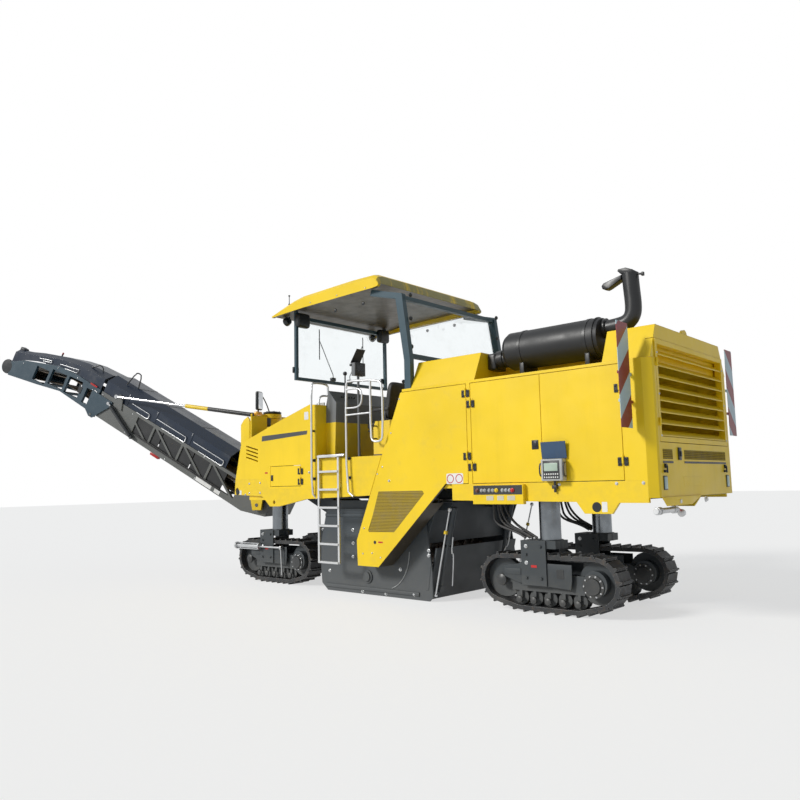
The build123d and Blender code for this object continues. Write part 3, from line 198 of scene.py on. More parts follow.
def painted(name, colour, rough, dust, dust_top, wear, bare=(0.3, 0.29, 0.28), grain=0.02):
    """Machine paint: faint mottling, rain streaks, road dust that thins with height, rubbed edges."""
    g = Graph(name)
    broad = g.noise(0.9, 3)
    patch = g.noise(5.0, 5, 0.65)
    base = g.mix(g.remap(broad, 0.35, 0.7), scaled(colour, 1.04), scaled(colour, 0.9))
    run = g.noise(1.0, 4, 0.6, g.stretched((7.0, 7.0, 0.55)))
    base = g.mix(g.times(g.remap(run, 0.52, 0.78), 0.12), base, scaled(colour, 0.55))
    film = g.film(patch, g.split(g.place)[2], dust_top, 0.15, dust * 1.6)
    base, soft = g.rubbed(g.mix(film, base, DUST), wear, bare)
    gloss = g.math("ADD", g.remap(patch, 0.3, 0.75, rough - 0.06, rough + 0.1), g.times(film, 0.3), True)
    return g.shade(base, gloss, 0.0, g.bump(g.noise(160.0, 2), 0.12, grain * 0.02, soft))


def rusty_steel(name, colour, rust, amount=0.4, rough=0.55, metal=0.7, scale=9.0, dust=0.3):
    """Bare steel that work has scoured bright in places and rust has taken in others."""
    g = Graph(name)
    cloud = g.noise(scale, 7, 0.68, distort=0.4)
    share = g.remap(cloud, 0.62 - 0.3 * amount, 0.8 - 0.25 * amount)
    base = g.dusted(g.mix(share, colour, rust), g.noise(2.2, 4), 0.45, 0.75, dust)
    mask, soft = g.edges(0.004)
    base = g.mix(g.times(mask, 0.55), base, (0.62, 0.61, 0.6))
    shiny = g.math("SUBTRACT", metal, g.times(share, metal * 0.9), True)
    return g.shade(base, g.remap(cloud, 0.3, 0.8, rough - 0.18, rough + 0.25), shiny,
                   g.bump(g.noise(70.0, 5, 0.7), 0.35, 0.002, soft))


def metal_finish(name, colour, rough, brushed=0.0):
    """Plated or drawn metal with fine upright lines."""
    g = Graph(name)
    lines = g.noise(1.0, 3, 0.6, g.stretched((90, 90, 2)))
    smear = g.noise(6.0, 4)
    base = g.mix(g.remap(smear, 0.4, 0.75), colour, scaled(colour, 0.78))
    gloss = g.math("ADD", g.remap(smear, 0.35, 0.75, rough * 0.75, rough * 1.5), g.times(lines, brushed), True)
    return g.shade(base, gloss, 1.0, g.bump(lines, 0.08 + brushed, 0.0006, g.soft()))


def rubber_finish(name, colour=grey(0.028), rough=0.72, dust=0.45, dust_colour=DUST, grit=60.0):
    """Dusty rubber with a fine grit."""
    g = Graph(name)
    cloud = g.noise(7.0, 6, 0.7)
    base = g.mix(g.remap(g.noise(grit, 3), 0.3, 0.8), colour, scaled(colour, 1.9))
    base = g.dusted(base, cloud, 0.42, 0.72, dust, dust_colour)
    return g.coat(base, cloud, 0.8, (rough - 0.1, rough + 0.15), grit, 0.3, 0.0015, detail=4)


def moulded(name, colour, rough=0.45, grain=220.0, depth=0.15):
    """Moulded plastic or powder coat with a fine texture."""
    g = Graph(name)
    cloud = g.noise(4.0, 4)
    base = g.mix(g.remap(cloud, 0.35, 0.75), scaled(colour, 1.06), scaled(colour, 0.88))
    base = g.dusted(base, g.noise(2.0, 5, 0.7), 0.55, 0.85, 0.25)
    return g.coat(base, cloud, 0.8, (rough - 0.05, rough + 0.12), grain, depth, 0.0008)


def glazing(name):
    """Clear screen with a trace of dust."""
    g = Graph(name)
    glass = g.add("ShaderNodeBsdfPrincipled", {"Base Color": (0.94, 0.97, 0.98), "Roughness": 0.03,
                                               "Transmission Weight": 1.0, "IOR": 1.08})
    film = g.add("ShaderNodeBsdfDiffuse", {"Color": (0.55, 0.55, 0.52)})
    clear = g.add("ShaderNodeBsdfTransparent", {"Color": (0.965, 0.985, 0.99)})
    dusty = g.remap(g.noise(3.0, 6, 0.7), 0.45, 0.85, 0.01, 0.06)
    return g.close(g.blend(dusty, g.blend(0.12, clear, glass), film))


def two_tone(name, paint, dark, dust):
    """Frame whose sills and slewing post are body paint, with everything behind them dark."""
    g = Graph(name)
    x, y, z = g.split(g.place)
    sill = g.math("GREATER_THAN", g.math("ABSOLUTE", y), SILL_Y)
    post = g.math("GREATER_THAN", x, POST_X)
    share = g.math("MAXIMUM", sill, post)
    patch = g.noise(5.0, 5, 0.65)
    tone = g.mix(share, dark, paint)
    tone = g.mix(g.times(g.remap(patch, 0.35, 0.75), 0.16), tone, scaled(dark, 1.4))
    tone = g.mix(g.film(patch, z, 1.3, 0.2, dust * 1.4), tone, DUST)
    tone, soft = g.rubbed(tone, 0.4, (0.24, 0.22, 0.18))
    return g.coat(tone, patch, 0.75, (0.34, 0.5), 160.0, 0.12, 0.0004, soft)


def banded(name, above, below, height, behind=-9.0):
    """Powder coat in one colour above a height and another below it, forward of a given place."""
    g = Graph(name)
    x, _, z = g.split(g.place)
    low = g.times(g.math("LESS_THAN", z, height), g.math("GREATER_THAN", x, behind))
    cloud = g.noise(4.0, 4)
    tone = g.dusted(g.mix(low, above, below), cloud, 0.4, 0.8, 0.25)
    return g.coat(tone, cloud, 0.8, (0.38, 0.52), 180.0, 0.12, 0.0006)


def shaded_inside(name, paint):
    """Body paint outside, with painted shade in dull dark brown on the faces that look down."""
    g = Graph(name)
    under = g.remap(g.facing()[2], -0.3, -0.45)
    patch = g.noise(5.0, 5, 0.65)
    tone = g.mix(g.remap(g.noise(0.9, 3), 0.35, 0.7), scaled(paint, 1.04), scaled(paint, 0.92))
    tone = g.dusted(tone, patch, 0.55, 0.85, 0.15)
    # Painted shade: the faces that look down turn dark brown.
    tone = g.mix(under, tone, (0.05, 0.04, 0.026))
    mask, soft = g.edges()
    tone = g.mix(g.times(mask, 0.12), tone, scaled(paint, 0.5))
    return g.coat(tone, patch, 0.75, (0.32, 0.46), 160.0, 0.12, 0.0004, soft)


def roof_paint(name, paint):
    """Body paint on top, olive painted shade streaked with stains on rear faces, dull grey-brown on downward faces."""
    g = Graph(name)
    facing = g.facing()
    under = g.remap(facing[2], -0.8, -0.95)
    behind = g.remap(facing[0], -0.55, -0.75)
    run = g.noise(1.0, 4, 0.6, g.stretched((1.0, 5.0, 0.9)))
    # Painted shade with stains: the faces that look rearwards turn olive, in streaks.
    olive = g.mix(g.remap(run, 0.52, 0.68), (0.34, 0.3, 0.1), paint)
    tone = g.mix(g.remap(g.noise(0.9, 3), 0.35, 0.7), scaled(paint, 1.03), scaled(paint, 0.9))
    tone = g.mix(behind, tone, olive)
    downward_tone = g.mix(g.remap(g.noise(2.5, 5, 0.6), 0.35, 0.75), (0.09, 0.075, 0.045), (0.05, 0.042, 0.028))
    tone = g.mix(under, tone, downward_tone)
    return g.coat(tone, g.noise(5.0, 5, 0.65), 0.75, (0.32, 0.48), 160.0, 0.12, 0.0004, g.soft(0.006))


def stay_paint(name, paint, dark):
    """Cylinder barrel that is black at its foot and body paint towards its rod."""
    g = Graph(name)
    share = g.remap(g.split(g.place)[0], 5.2, 5.22)
    patch = g.noise(5.0, 5, 0.65)
    tone = g.dusted(g.mix(share, dark, paint), patch, 0.4, 0.8, 0.2)
    return g.coat(tone, patch, 0.75, (0.3, 0.45), 160.0, 0.1, 0.0004)


def woven_screen(name, colour, pitch=0.02):
    """Fine punched screen in dull paint."""
    g = Graph(name)
    x, y, z = g.split(g.place)
    rows = g.math("SINE", g.times(z, 2.0 * math.pi / pitch))
    across = g.math("SINE", g.times(g.math("ADD", x, y), 2.0 * math.pi / pitch))
    wire = g.math("ADD", g.times(rows, 0.7), g.times(across, 0.3))
    base = g.mix(g.remap(wire, 0.1, 0.35), colour, scaled(colour, 0.3))
    base = g.dusted(base, g.noise(4.0, 5, 0.7), 0.45, 0.8, 0.35)
    return g.shade(base, 0.6, 0.1, g.bump(wire, 0.4, 0.002))


def striped_board(name, red=(0.25, 0.02, 0.032), pale=(0.42, 0.56, 0.63), pitch=0.5):
    """Reflective board of slanting red and white bars falling away from the middle, dimmed as painted shade."""
    g = Graph(name)
    _, y, z = g.split(g.place)
    run = g.math("ADD", g.math("ABSOLUTE", y), z)
    bar = g.remap(g.math("FRACT", g.times(run, 1.0 / pitch)), 0.495, 0.505)
    # Painted shade and reflection: red is darkened, and pale is the white dimmed and tinted blue by the sky.
    base = g.dusted(g.mix(bar, red, pale), g.noise(5.0, 5, 0.7), 0.5, 0.8, 0.3)
    cells = g.add("ShaderNodeTexVoronoi", {"Vector": g.place, "Scale": 260.0}).outputs["Distance"]
    return g.shade(base, 0.32, 0.0, g.bump(cells, 0.15, 0.0005))


# ---------------------------------------------------------------- mesh building
def circle(radius, sides):
    return [(radius * math.cos(2 * math.pi * i / sides), radius * math.sin(2 * math.pi * i / sides))
            for i in range(sides)]


def aimed(at, direction):
    """Matrix that puts a shape's Z axis on a line."""
    return Matrix.Translation(at) @ Vector(direction).to_track_quat("Z", "Y").to_matrix().to_4x4()


def spaced(lo, hi, count):
    return [lo + (hi - lo) * i / (count - 1) for i in range(count)]


class Shape:
    """Collects forms into one mesh, in the shared frame or in a part's own frame."""

    def __init__(self, frame_matrix=None):
        self.bm = bmesh.new()
        self.frame = frame_matrix or Matrix.Identity(4)

    def loop(self, points, turn=Matrix.Identity(4)):
        return [self.bm.verts.new(self.frame @ turn @ Vector(p)) for p in points]

    def walls(self, loops):
        """Faces between closed loops of vertices, in order."""
        for a, b in zip(loops, loops[1:]):
            for i in range(len(a)):
                j = (i + 1) % len(a)
                self.bm.faces.new((a[i], a[j], b[j], b[i]))
        return self

    def skin(self, loops):
        """Walls between loops and a face over each end."""
        self.walls(loops)
        self.bm.faces.new(loops[0][::-1])
        self.bm.faces.new(loops[-1])
        return self

    def box(self, a, b, bevel=0.0, segments=2):
        """Box between two opposite corners, with rounded edges."""
        lo, hi = [min(p) for p in zip(a, b)], [max(p) for p in zip(a, b)]
        size = [h - l for l, h in zip(lo, hi)]
        made = bmesh.ops.create_cube(self.bm, size=1.0)["verts"]
        bmesh.ops.scale(self.bm, vec=size, verts=made)
        if bevel:
            edges = list({e for v in made for e in v.link_edges})
            made = bmesh.ops.bevel(self.bm, geom=edges, offset=min(bevel, min(size) * 0.45), segments=segments,
                                   affect="EDGES", profile=0.5)["verts"]
            made = list({v for f in self.bm.faces if f.verts[0] in set(made) for v in f.verts} | set(made))
        middle = Vector([(l + h) / 2 for l, h in zip(lo, hi)])
        bmesh.ops.transform(self.bm, matrix=self.frame @ Matrix.Translation(middle), verts=made)
        return self

    def rod(self, a, b, radius, sides=20, radius2=None):
        a, b = Vector(a), Vector(b)
        made = bmesh.ops.create_cone(self.bm, cap_ends=True, segments=sides, radius1=radius,
                                     radius2=radius if radius2 is None else radius2, depth=(b - a).length)["verts"]
        bmesh.ops.transform(self.bm, matrix=self.frame @ aimed((a + b) / 2, b - a), verts=made)
        return self

    def lathe(self, origin, direction, profile, sides=32):
        """Turns (distance along, radius) pairs about a line."""
        turn = aimed(origin, direction)
        return self.skin([self.loop([(x, y, along) for x, y in circle(r, sides)], turn) for along, r in profile])

    def ring(self, at, normal, outer, inner, thick, sides=32):
        """Flat ring."""
        turn = aimed(at, normal)
        loops = [self.loop([(x, y, up) for x, y in circle(r, sides)], turn)
                 for r, up in ((inner, 0), (outer, 0), (outer, thick), (inner, thick))]
        return self.walls(loops + loops[:1])

    def sheet(self, points, normal, thick, bevel=0.0):
        """Flat plate from corner points in order, drawn out along its normal."""
        shift = Vector(normal).normalized() * thick
        low, high = self.loop(points), self.loop([Vector(p) + shift for p in points])
        self.bm.faces.new(low[::-1])
        top = self.bm.faces.new(high)
        self.walls([low, high])
        if bevel:
            bmesh.ops.bevel(self.bm, geom=list(top.edges), offset=bevel, segments=2, affect="EDGES", profile=0.5)
        return self

    def upright(self, y, points, s, thick, bevel=0.0):
        """Plate from (x, z) corners that stands at y and grows outwards on its side."""
        return self.sheet([(x, y, z) for x, z in points], (0, s, 0), thick, bevel)

    def tube(self, points, radius, sides=12, smooth=0):
        """Round tube through points; each corner is rounded by subdividing the path."""
        path = [Vector(p) for p in points]
        for _ in range(smooth):
            finer = [path[0]]
            for a, b in zip(path, path[1:]):
                finer += [a.lerp(b, 0.25), a.lerp(b, 0.75)]
            path = finer + [path[-1]]
        rings, side = [], None
        for i, p in enumerate(path):
            ahead = (path[min(i + 1, len(path) - 1)] - path[max(i - 1, 0)]).normalized()
            if side is None:
                side = ahead.orthogonal().normalized()
            side = (side - ahead * side.dot(ahead)).normalized()
            other = ahead.cross(side)
            rings.append(self.loop([p + radius * (side * c + other * k) for c, k in circle(1.0, sides)]))
        return self.skin(rings)

    def bolt(self, at, normal, size=0.018):
        """Hexagon head on a washer."""
        at, n = Vector(at), Vector(normal).normalized()
        self.rod(at, at + n * size * 0.12, size * 0.78, 16)
        return self.rod(at + n * size * 0.12, at + n * size * 0.62, size * 0.56, 6, size * 0.5)

    def bolts(self, points, normal, size=0.018):
        for p in points:
            self.bolt(p, normal, size)
        return self

    def side_bolts(self, y, points, s, size):
        """Bolts at (x, z) places on a face at y that looks outwards."""
        return self.bolts([(x, y, z) for x, z in points], (0, s, 0), size)

    def make(self, name, look, body="chassis", slot=None, angle=35.0):
        """Turns the mesh into a named piece that rides a body."""
        mesh = bpy.data.meshes.new(name)
        bmesh.ops.recalc_face_normals(self.bm, faces=self.bm.faces)
        self.bm.to_mesh(mesh)
        self.bm.free()
        mesh.shade_smooth()
        mesh.set_sharp_from_angle(angle=math.radians(angle))
        mesh.materials.append(MATS[look])
        obj = bpy.data.objects.new(name, mesh)
        bpy.context.scene.collection.objects.link(obj)
        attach(obj, body)
        return obj


def hinge_leaf(shape, x, toward, z, s):
    """Black hinge plate with two screws; toward is the way it reaches from the hinge's axis."""
    y = s * (HALF_W + 0.0065)
    face = y + s * 0.004
    shape.box((x + toward * 0.015, y, z - 0.024), (x + toward * 0.06, face, z + 0.069), 0.0015, 1)
    shape.side_bolts(face, [(x + toward * 0.04, z + dz) for dz in (-0.002, 0.047)], s, 0.013)


def lock_plate(body, at, size, s):
    """Black paddle lock sunk in a moulded frame."""
    x, y, z = at
    w, h = size[0] / 2, size[1] / 2
    lock = Shape().box((x - w, y, z - h), (x + w, y + s * 0.008, z + h), 0.006, 3)
    lock.box((x - w * 0.66, y + s * 0.006, z - h * 0.45), (x + w * 0.66, y + s * 0.014, z + h * 0.72), 0.004)
    lock.rod((x, y + s * 0.007, z - h * 0.7), (x, y + s * 0.012, z - h * 0.7), 0.008, 16)
    lock.make(body + "_lock", "black_steel", body)


def blank_label(name, at, size, normal, look="label_white", body="chassis"):
    """Plain plate with rounded corners and nothing written on it."""
    n = Vector(normal)
    up = Vector((0, 0, 1))
    side = up.cross(n).normalized()
    w, h = size[0] / 2, size[1] / 2
    r = min(w, h) * 0.25
    points = []
    for cx, cy, start in ((w - r, h - r, 0), (r - w, h - r, 90), (r - w, r - h, 180), (w - r, r - h, 270)):
        for step in range(4):
            a = math.radians(start + step * 30)
            points.append(Vector(at) + side * (cx + r * math.cos(a)) + up * (cy + r * math.sin(a)))
    return Shape().sheet(points, n, 0.0012).make(name, look, body)


def holed_plate(shape, profile, hole, y0, y1, sides=24):
    """Upright plate in X and Z with one round hole, between y0 and y1."""
    hx, hz, r = hole
    around = [(hx + x, hz + z) for x, z in circle(r, sides)]
    edge = []
    for dx, dz in circle(1.0, sides):
        reach = []
        for (ax, az), (bx, bz) in zip(profile, profile[1:] + profile[:1]):
            ex, ez = bx - ax, bz - az
            det = dx * ez - dz * ex
            if abs(det) < 1e-9:
                continue
            t = ((ax - hx) * ez - (az - hz) * ex) / det
            k = ((ax - hx) * dz - (az - hz) * dx) / det
            if t > 0 and -1e-6 <= k <= 1 + 1e-6:
                reach.append(t)
        edge.append((hx + dx * min(reach), hz + dz * min(reach)))
    loops = [shape.loop([(x, y, z) for x, z in line])
             for line, y in ((around, y0), (edge, y0), (edge, y1), (around, y1))]
    return shape.walls(loops + loops[:1])


def pad_form(name, at, half, lean, body):
    """Domed closed cushion whose sides pull in between its corners, with a sewn line round its edge."""
    shape = Shape()
    bm = shape.bm
    bmesh.ops.create_cube(bm, size=2.0)
    bmesh.ops.subdivide_edges(bm, edges=bm.edges[:], cuts=15, use_grid_fill=True)
    thin = half.index(min(half))
    for v in bm.verts:
        grow = sum(abs(c) ** 5 for c in v.co) ** 0.2
        c = [value / grow for value in v.co]
        a, b = [c[i] for i in range(3) if i != thin]
        dome = 1.0 + 0.16 * (1 - a * a) * (1 - b * b)
        seam = 1.0 - 0.1 * math.exp(-((abs(a) - 0.55) / 0.045) ** 2) if abs(b) < 0.9 else 1.0
        c[thin] *= dome * seam
        waist = 1.0 - 0.03 * (1 - c[thin] ** 2) * (1 - min(1.0, abs(a * b)))
        v.co = Vector([c[i] * half[i] * (waist if i != thin else 0.86) for i in range(3)])
    bmesh.ops.transform(bm, matrix=Matrix.Translation(at) @ Matrix.Rotation(lean, 4, "Y"), verts=bm.verts)
    return shape.make(name, "seat_black", body, angle=60.0)


# ---------------------------------------------------------------- settings a user would change
def colour_setting(name, description, default):
    return FloatVectorProperty(name=name, description=description, subtype="COLOR", size=3, min=0.0, max=1.0,
                               default=default)


def share_setting(name, description, default, most=1.0):
    return FloatProperty(name=name, description=description, subtype="FACTOR", min=0.0, max=most, default=default)


def angle_setting(name, description, degrees):
    return FloatProperty(name=name, description=description, subtype="ANGLE", default=math.radians(degrees))


class PlanerFinishSettings(bpy.types.PropertyGroup):
    body_paint: colour_setting("Body paint", "Colour of the doors, hoods and canopy", (0.91, 0.63, 0.008))
    frame_paint: colour_setting("Frame paint", "Colour of the main frame and the drum housing", (0.041, 0.053, 0.064))
    track_paint: colour_setting("Track frame paint", "Colour of the track frames", (0.036, 0.044, 0.05))
    cover_colour: colour_setting("Belt cover", "Colour of the folded conveyor covers", (0.012, 0.023, 0.046))
    dust: share_setting("Road dust", "How much dust lies on the lower parts", 0.35)
    wear: share_setting("Edge wear", "How far paint is rubbed off along edges", 0.5)


class PlanerStageSettings(bpy.types.PropertyGroup):
    floor_size: FloatProperty(name="Floor size", description="Side of the square floor", default=160.0, min=30.0,
                              unit="LENGTH")
    camera_place: FloatVectorProperty(name="Camera place", description="Where the camera stands", size=3,
                                      subtype="TRANSLATION", default=(-6.585, 8.717, 1.59))
    camera_yaw: angle_setting("Camera heading", "Heading from straight ahead towards the right", 48.25)
    camera_pitch: angle_setting("Camera pitch", "How far the camera looks up", 6.552)
    camera_roll: angle_setting("Camera roll", "Tilt about the line of sight", -1.219)
    focal: FloatProperty(name="Focal length", description="Lens of a 36 mm wide sensor, in millimetres",
                         default=32.997, min=8.0, max=300.0)
    floor_glow: share_setting("Floor whiteness", "How much of the floor is plain white to the camera", 0.6, 0.9)
    sun: FloatProperty(name="Key light", description="Strength of the soft key light", default=2.5, min=0.0,
                       max=10.0)
    sky: FloatProperty(name="Fill light", description="Strength of the even fill light", default=0.28, min=0.0,
                       max=3.0)


MATS = {}


# ---------------------------------------------------------------- operators
class PLANER_OT_stage(bpy.types.Operator):
    """Makes the floor, the lights and the camera"""
    bl_idname = "planer.stage"
    bl_label = "Stage"

    def execute(self, context):
        opts = context.scene.planer_stage
        half = opts.floor_size / 2
        white = {"Color": grey(1.0), "Strength": 1.0}
        mesh = bpy.data.meshes.new("floor")
        mesh.from_pydata([(-half, -half, 0), (half, -half, 0), (half, half, 0), (-half, half, 0)], [], [(0, 1, 2, 3)])
        floor = bpy.data.objects.new("floor", mesh)
        context.scene.collection.objects.link(floor)
        g = Graph("floor_pale")
        lit = g.add("ShaderNodeBsdfPrincipled", {"Base Color": grey(0.93), "Roughness": 0.85, "Metallic": 0.0})
        rays = g.add("ShaderNodeLightPath").outputs
        seen = g.math("ADD", rays["Is Camera Ray"], rays["Is Glossy Ray"], True)
        plain = g.add("ShaderNodeEmission", white)
        mesh.materials.append(g.close(g.blend(g.times(seen, opts.floor_glow), lit, plain)))

        g = Graph("studio", world=True)
        rays = g.add("ShaderNodeLightPath").outputs
        seen = g.math("ADD", g.math("ADD", rays["Is Camera Ray"], rays["Is Transmission Ray"]),
                      g.times(rays["Is Glossy Ray"], 0.6), True)
        fill = g.add("ShaderNodeBackground", {"Color": (0.86, 0.94, 1.0), "Strength": opts.sky})
        backdrop = g.add("ShaderNodeBackground", white)
        context.scene.world = g.close(g.blend(seen, fill, backdrop), "World")

        lamp = bpy.data.lights.new("key", "SUN")
        lamp.energy = opts.sun
        lamp.angle = math.radians(14)
        lamp.color = (1.0, 0.985, 0.95)
        key = bpy.data.objects.new("key", lamp)
        key.rotation_euler = Vector((0.45, 0.85, 0.55)).to_track_quat("Z", "Y").to_euler()
        context.scene.collection.objects.link(key)

        yaw, pitch, roll = opts.camera_yaw, opts.camera_pitch, opts.camera_roll
        ahead = Vector((math.cos(yaw) * math.cos(pitch), -math.sin(yaw) * math.cos(pitch), math.sin(pitch)))
        right = ahead.cross(Vector((0, 0, 1))).normalized()
        up = right.cross(ahead)
        level_right = right * math.cos(roll) + up * math.sin(roll)
        level_up = up * math.cos(roll) - right * math.sin(roll)
        lens = bpy.data.cameras.new("camera")
        lens.sensor_width = 36.0
        lens.lens = opts.focal
        lens.clip_end = 500.0
        camera = bpy.data.objects.new("camera", lens)
        turn = Matrix((level_right, level_up, -ahead)).transposed().to_4x4()
        camera.matrix_world = Matrix.Translation(opts.camera_place) @ turn
        context.scene.collection.objects.link(camera)
        context.scene.camera = camera
        context.scene.view_settings.view_transform = "Standard"
        return {"FINISHED"}


class PLANER_OT_finishes(bpy.types.Operator):
    """Gives every solid part its finish"""
    bl_idname = "planer.finishes"
    bl_label = "Finishes"

    def execute(self, context):
        o = context.scene.planer_finish
        dust, wear = o.dust, o.wear
        yellow, frame_paint = tuple(o.body_paint), tuple(o.frame_paint)
        charcoal = grey(0.1)
        MATS.update({
            "yellow": painted("body_yellow", yellow, 0.36, dust, 1.25, wear * 0.6, scaled(yellow, 0.35)),
            "frame_grey": painted("frame_grey", frame_paint, 0.46, dust * 0.55, 1.2, wear, grey(0.2), 0.04),
            "black_steel": painted("black_steel", (0.01, 0.014, 0.018), 0.34, dust * 0.5, 1.0, wear * 0.4, grey(0.12),
                                   0.03),
            "track_grey": painted("track_grey", tuple(o.track_paint), 0.48, dust * 0.6, 0.6, wear, grey(0.22), 0.05),
            "cylinder_yellow": painted("cylinder_yellow", yellow, 0.36, 0.15, 1.0, wear),
            "teal": painted("canopy_steel", (0.024, 0.062, 0.086), 0.38, dust * 0.1, 1.0, wear * 0.4, grey(0.2)),
            "truss": painted("conveyor_steel", (0.125, 0.13, 0.125), 0.4, dust * 0.2, 1.2, wear * 0.6,
                             (0.3, 0.31, 0.31)),
            "nose_steel": painted("nose_steel", (0.026, 0.058, 0.084), 0.36, dust * 0.2, 1.2, wear * 0.6,
                                  (0.22, 0.25, 0.28)),
            "muffler": painted("muffler_black", (0.011, 0.012, 0.014), 0.46, 0.05, 1.0, 0.2, charcoal),
            "black_satin": painted("black_satin", (0.014, 0.015, 0.017), 0.36, 0.1, 1.0, 0.2, charcoal),
            "frame": two_tone("main_frame_paint", yellow, frame_paint, dust),
            "console": banded("console_paint", (0.16, 0.17, 0.18), yellow, 2.56, 1.56),
            "platform": banded("platform_paint", yellow, (0.05, 0.055, 0.06), 2.02),
            "belt_door": shaded_inside("belt_door_paint", yellow),
            "roof": roof_paint("roof_paint", yellow),
            "stay": stay_paint("stay_paint", yellow, (0.012, 0.014, 0.016)),
            "screen_olive": woven_screen("screen_olive", (0.4, 0.28, 0.01)),
            "board_white": striped_board("board_stripes"),
            "pane": glazing("screen_glass"),
            "shoe": rusty_steel("shoe_steel", (0.036, 0.038, 0.041), (0.085, 0.06, 0.045), 0.28, 0.55, 0.45, 14.0,
                                0.25),
            "worn_steel": rusty_steel("drum_steel", (0.22, 0.2, 0.18), (0.16, 0.07, 0.035), 0.6),
            "bright_steel": metal_finish("hard_chrome", (0.78, 0.79, 0.8), 0.1),
            "galvanised": metal_finish("rail_steel", (0.7, 0.71, 0.72), 0.34, 0.1),
            "zinc": metal_finish("zinc_plate", (0.62, 0.63, 0.64), 0.3, 0.06),
            "mirror": metal_finish("mirror_glass", (0.8, 0.82, 0.84), 0.05),
            "legs": metal_finish("leg_steel", (0.24, 0.26, 0.28), 0.26, 0.08),
            "dark_rubber": rubber_finish("track_rubber"),
            "belt": rubber_finish("belt_rubber", (0.075, 0.06, 0.045), 0.8, 0.6, (0.25, 0.2, 0.15)),
            "grit": rubber_finish("anti_slip_grit", (0.03, 0.03, 0.032), 0.9, 0.25, DUST, 420.0),
            "hose": rubber_finish("hose_rubber", (0.018, 0.018, 0.02), 0.55, 0.25),
            "hose_pale": rubber_finish("hose_pale", (0.3, 0.31, 0.31), 0.5, 0.25),
            "navy_cover": moulded("navy_cover", tuple(o.cover_colour), 0.26, 30.0, 0.1),
        })
        for key, name, *looks in (
                ("panel_grey", "panel_grey", (0.3, 0.32, 0.33), 0.42),
                ("seat_black", "seat_black", (0.02, 0.02, 0.021), 0.55, 420.0, 0.4),
                ("label_white", "label_white", (0.78, 0.78, 0.77), 0.35, 90.0, 0.05),
                ("label_red", "label_red", (0.55, 0.02, 0.018), 0.35, 90.0, 0.05),
                ("signal_red", "signal_red", (0.45, 0.015, 0.012), 0.25, 60.0, 0.05),
                ("amber", "amber_lens", (0.85, 0.42, 0.02), 0.2, 60.0, 0.05),
                ("stripe", "stripe_paint", (0.06, 0.065, 0.07), 0.35, 90.0, 0.05),
                ("reflector", "reflector_lens", (0.38, 0.52, 0.5), 0.18, 300.0, 0.3),
                ("panel_dark", "panel_dark", (0.03, 0.031, 0.034), 0.4),
                ("screen_dark", "screen_dark", (0.012, 0.014, 0.018), 0.15, 90.0, 0.02),
                ("light_grey", "socket_grey", (0.42, 0.43, 0.43), 0.45),
                ("blue", "panel_blue", (0.035, 0.075, 0.15), 0.4),
                ("cream", "plate_cream", (0.6, 0.57, 0.44), 0.4),
                ("display", "display_green", (0.42, 0.52, 0.44), 0.2, 90.0, 0.02),
                ("brown", "socket_brown", (0.16, 0.055, 0.03), 0.4)):
            MATS[key] = moulded(name, *looks)
        special = {"conveyor_belt": "belt", "nose_belt": "belt", "canopy_frame": "teal", "main_frame": "frame",
                   "slew_bracket": "yellow", "control_console": "console", "socket_box": "yellow",
                   "belt_door_left": "belt_door", "platform": "platform", "stay_barrels": "stay",
                   "conveyor_truss": "truss", "nose_truss": "nose_steel"}
        slots = {s["node"]: s["material_slot"] for s in frame["record"]["subparts"]}
        for node, obj in NODES.items():
            key = special.get(node, slots[node])
            if node.startswith("track_shoes"):
                key = "shoe"
            elif node.startswith("leg_"):
                key = "legs"
            for slot in obj.material_slots:
                slot.material = MATS[key]
            if not obj.material_slots:
                obj.data.materials.append(MATS[key])
        return {"FINISHED"}


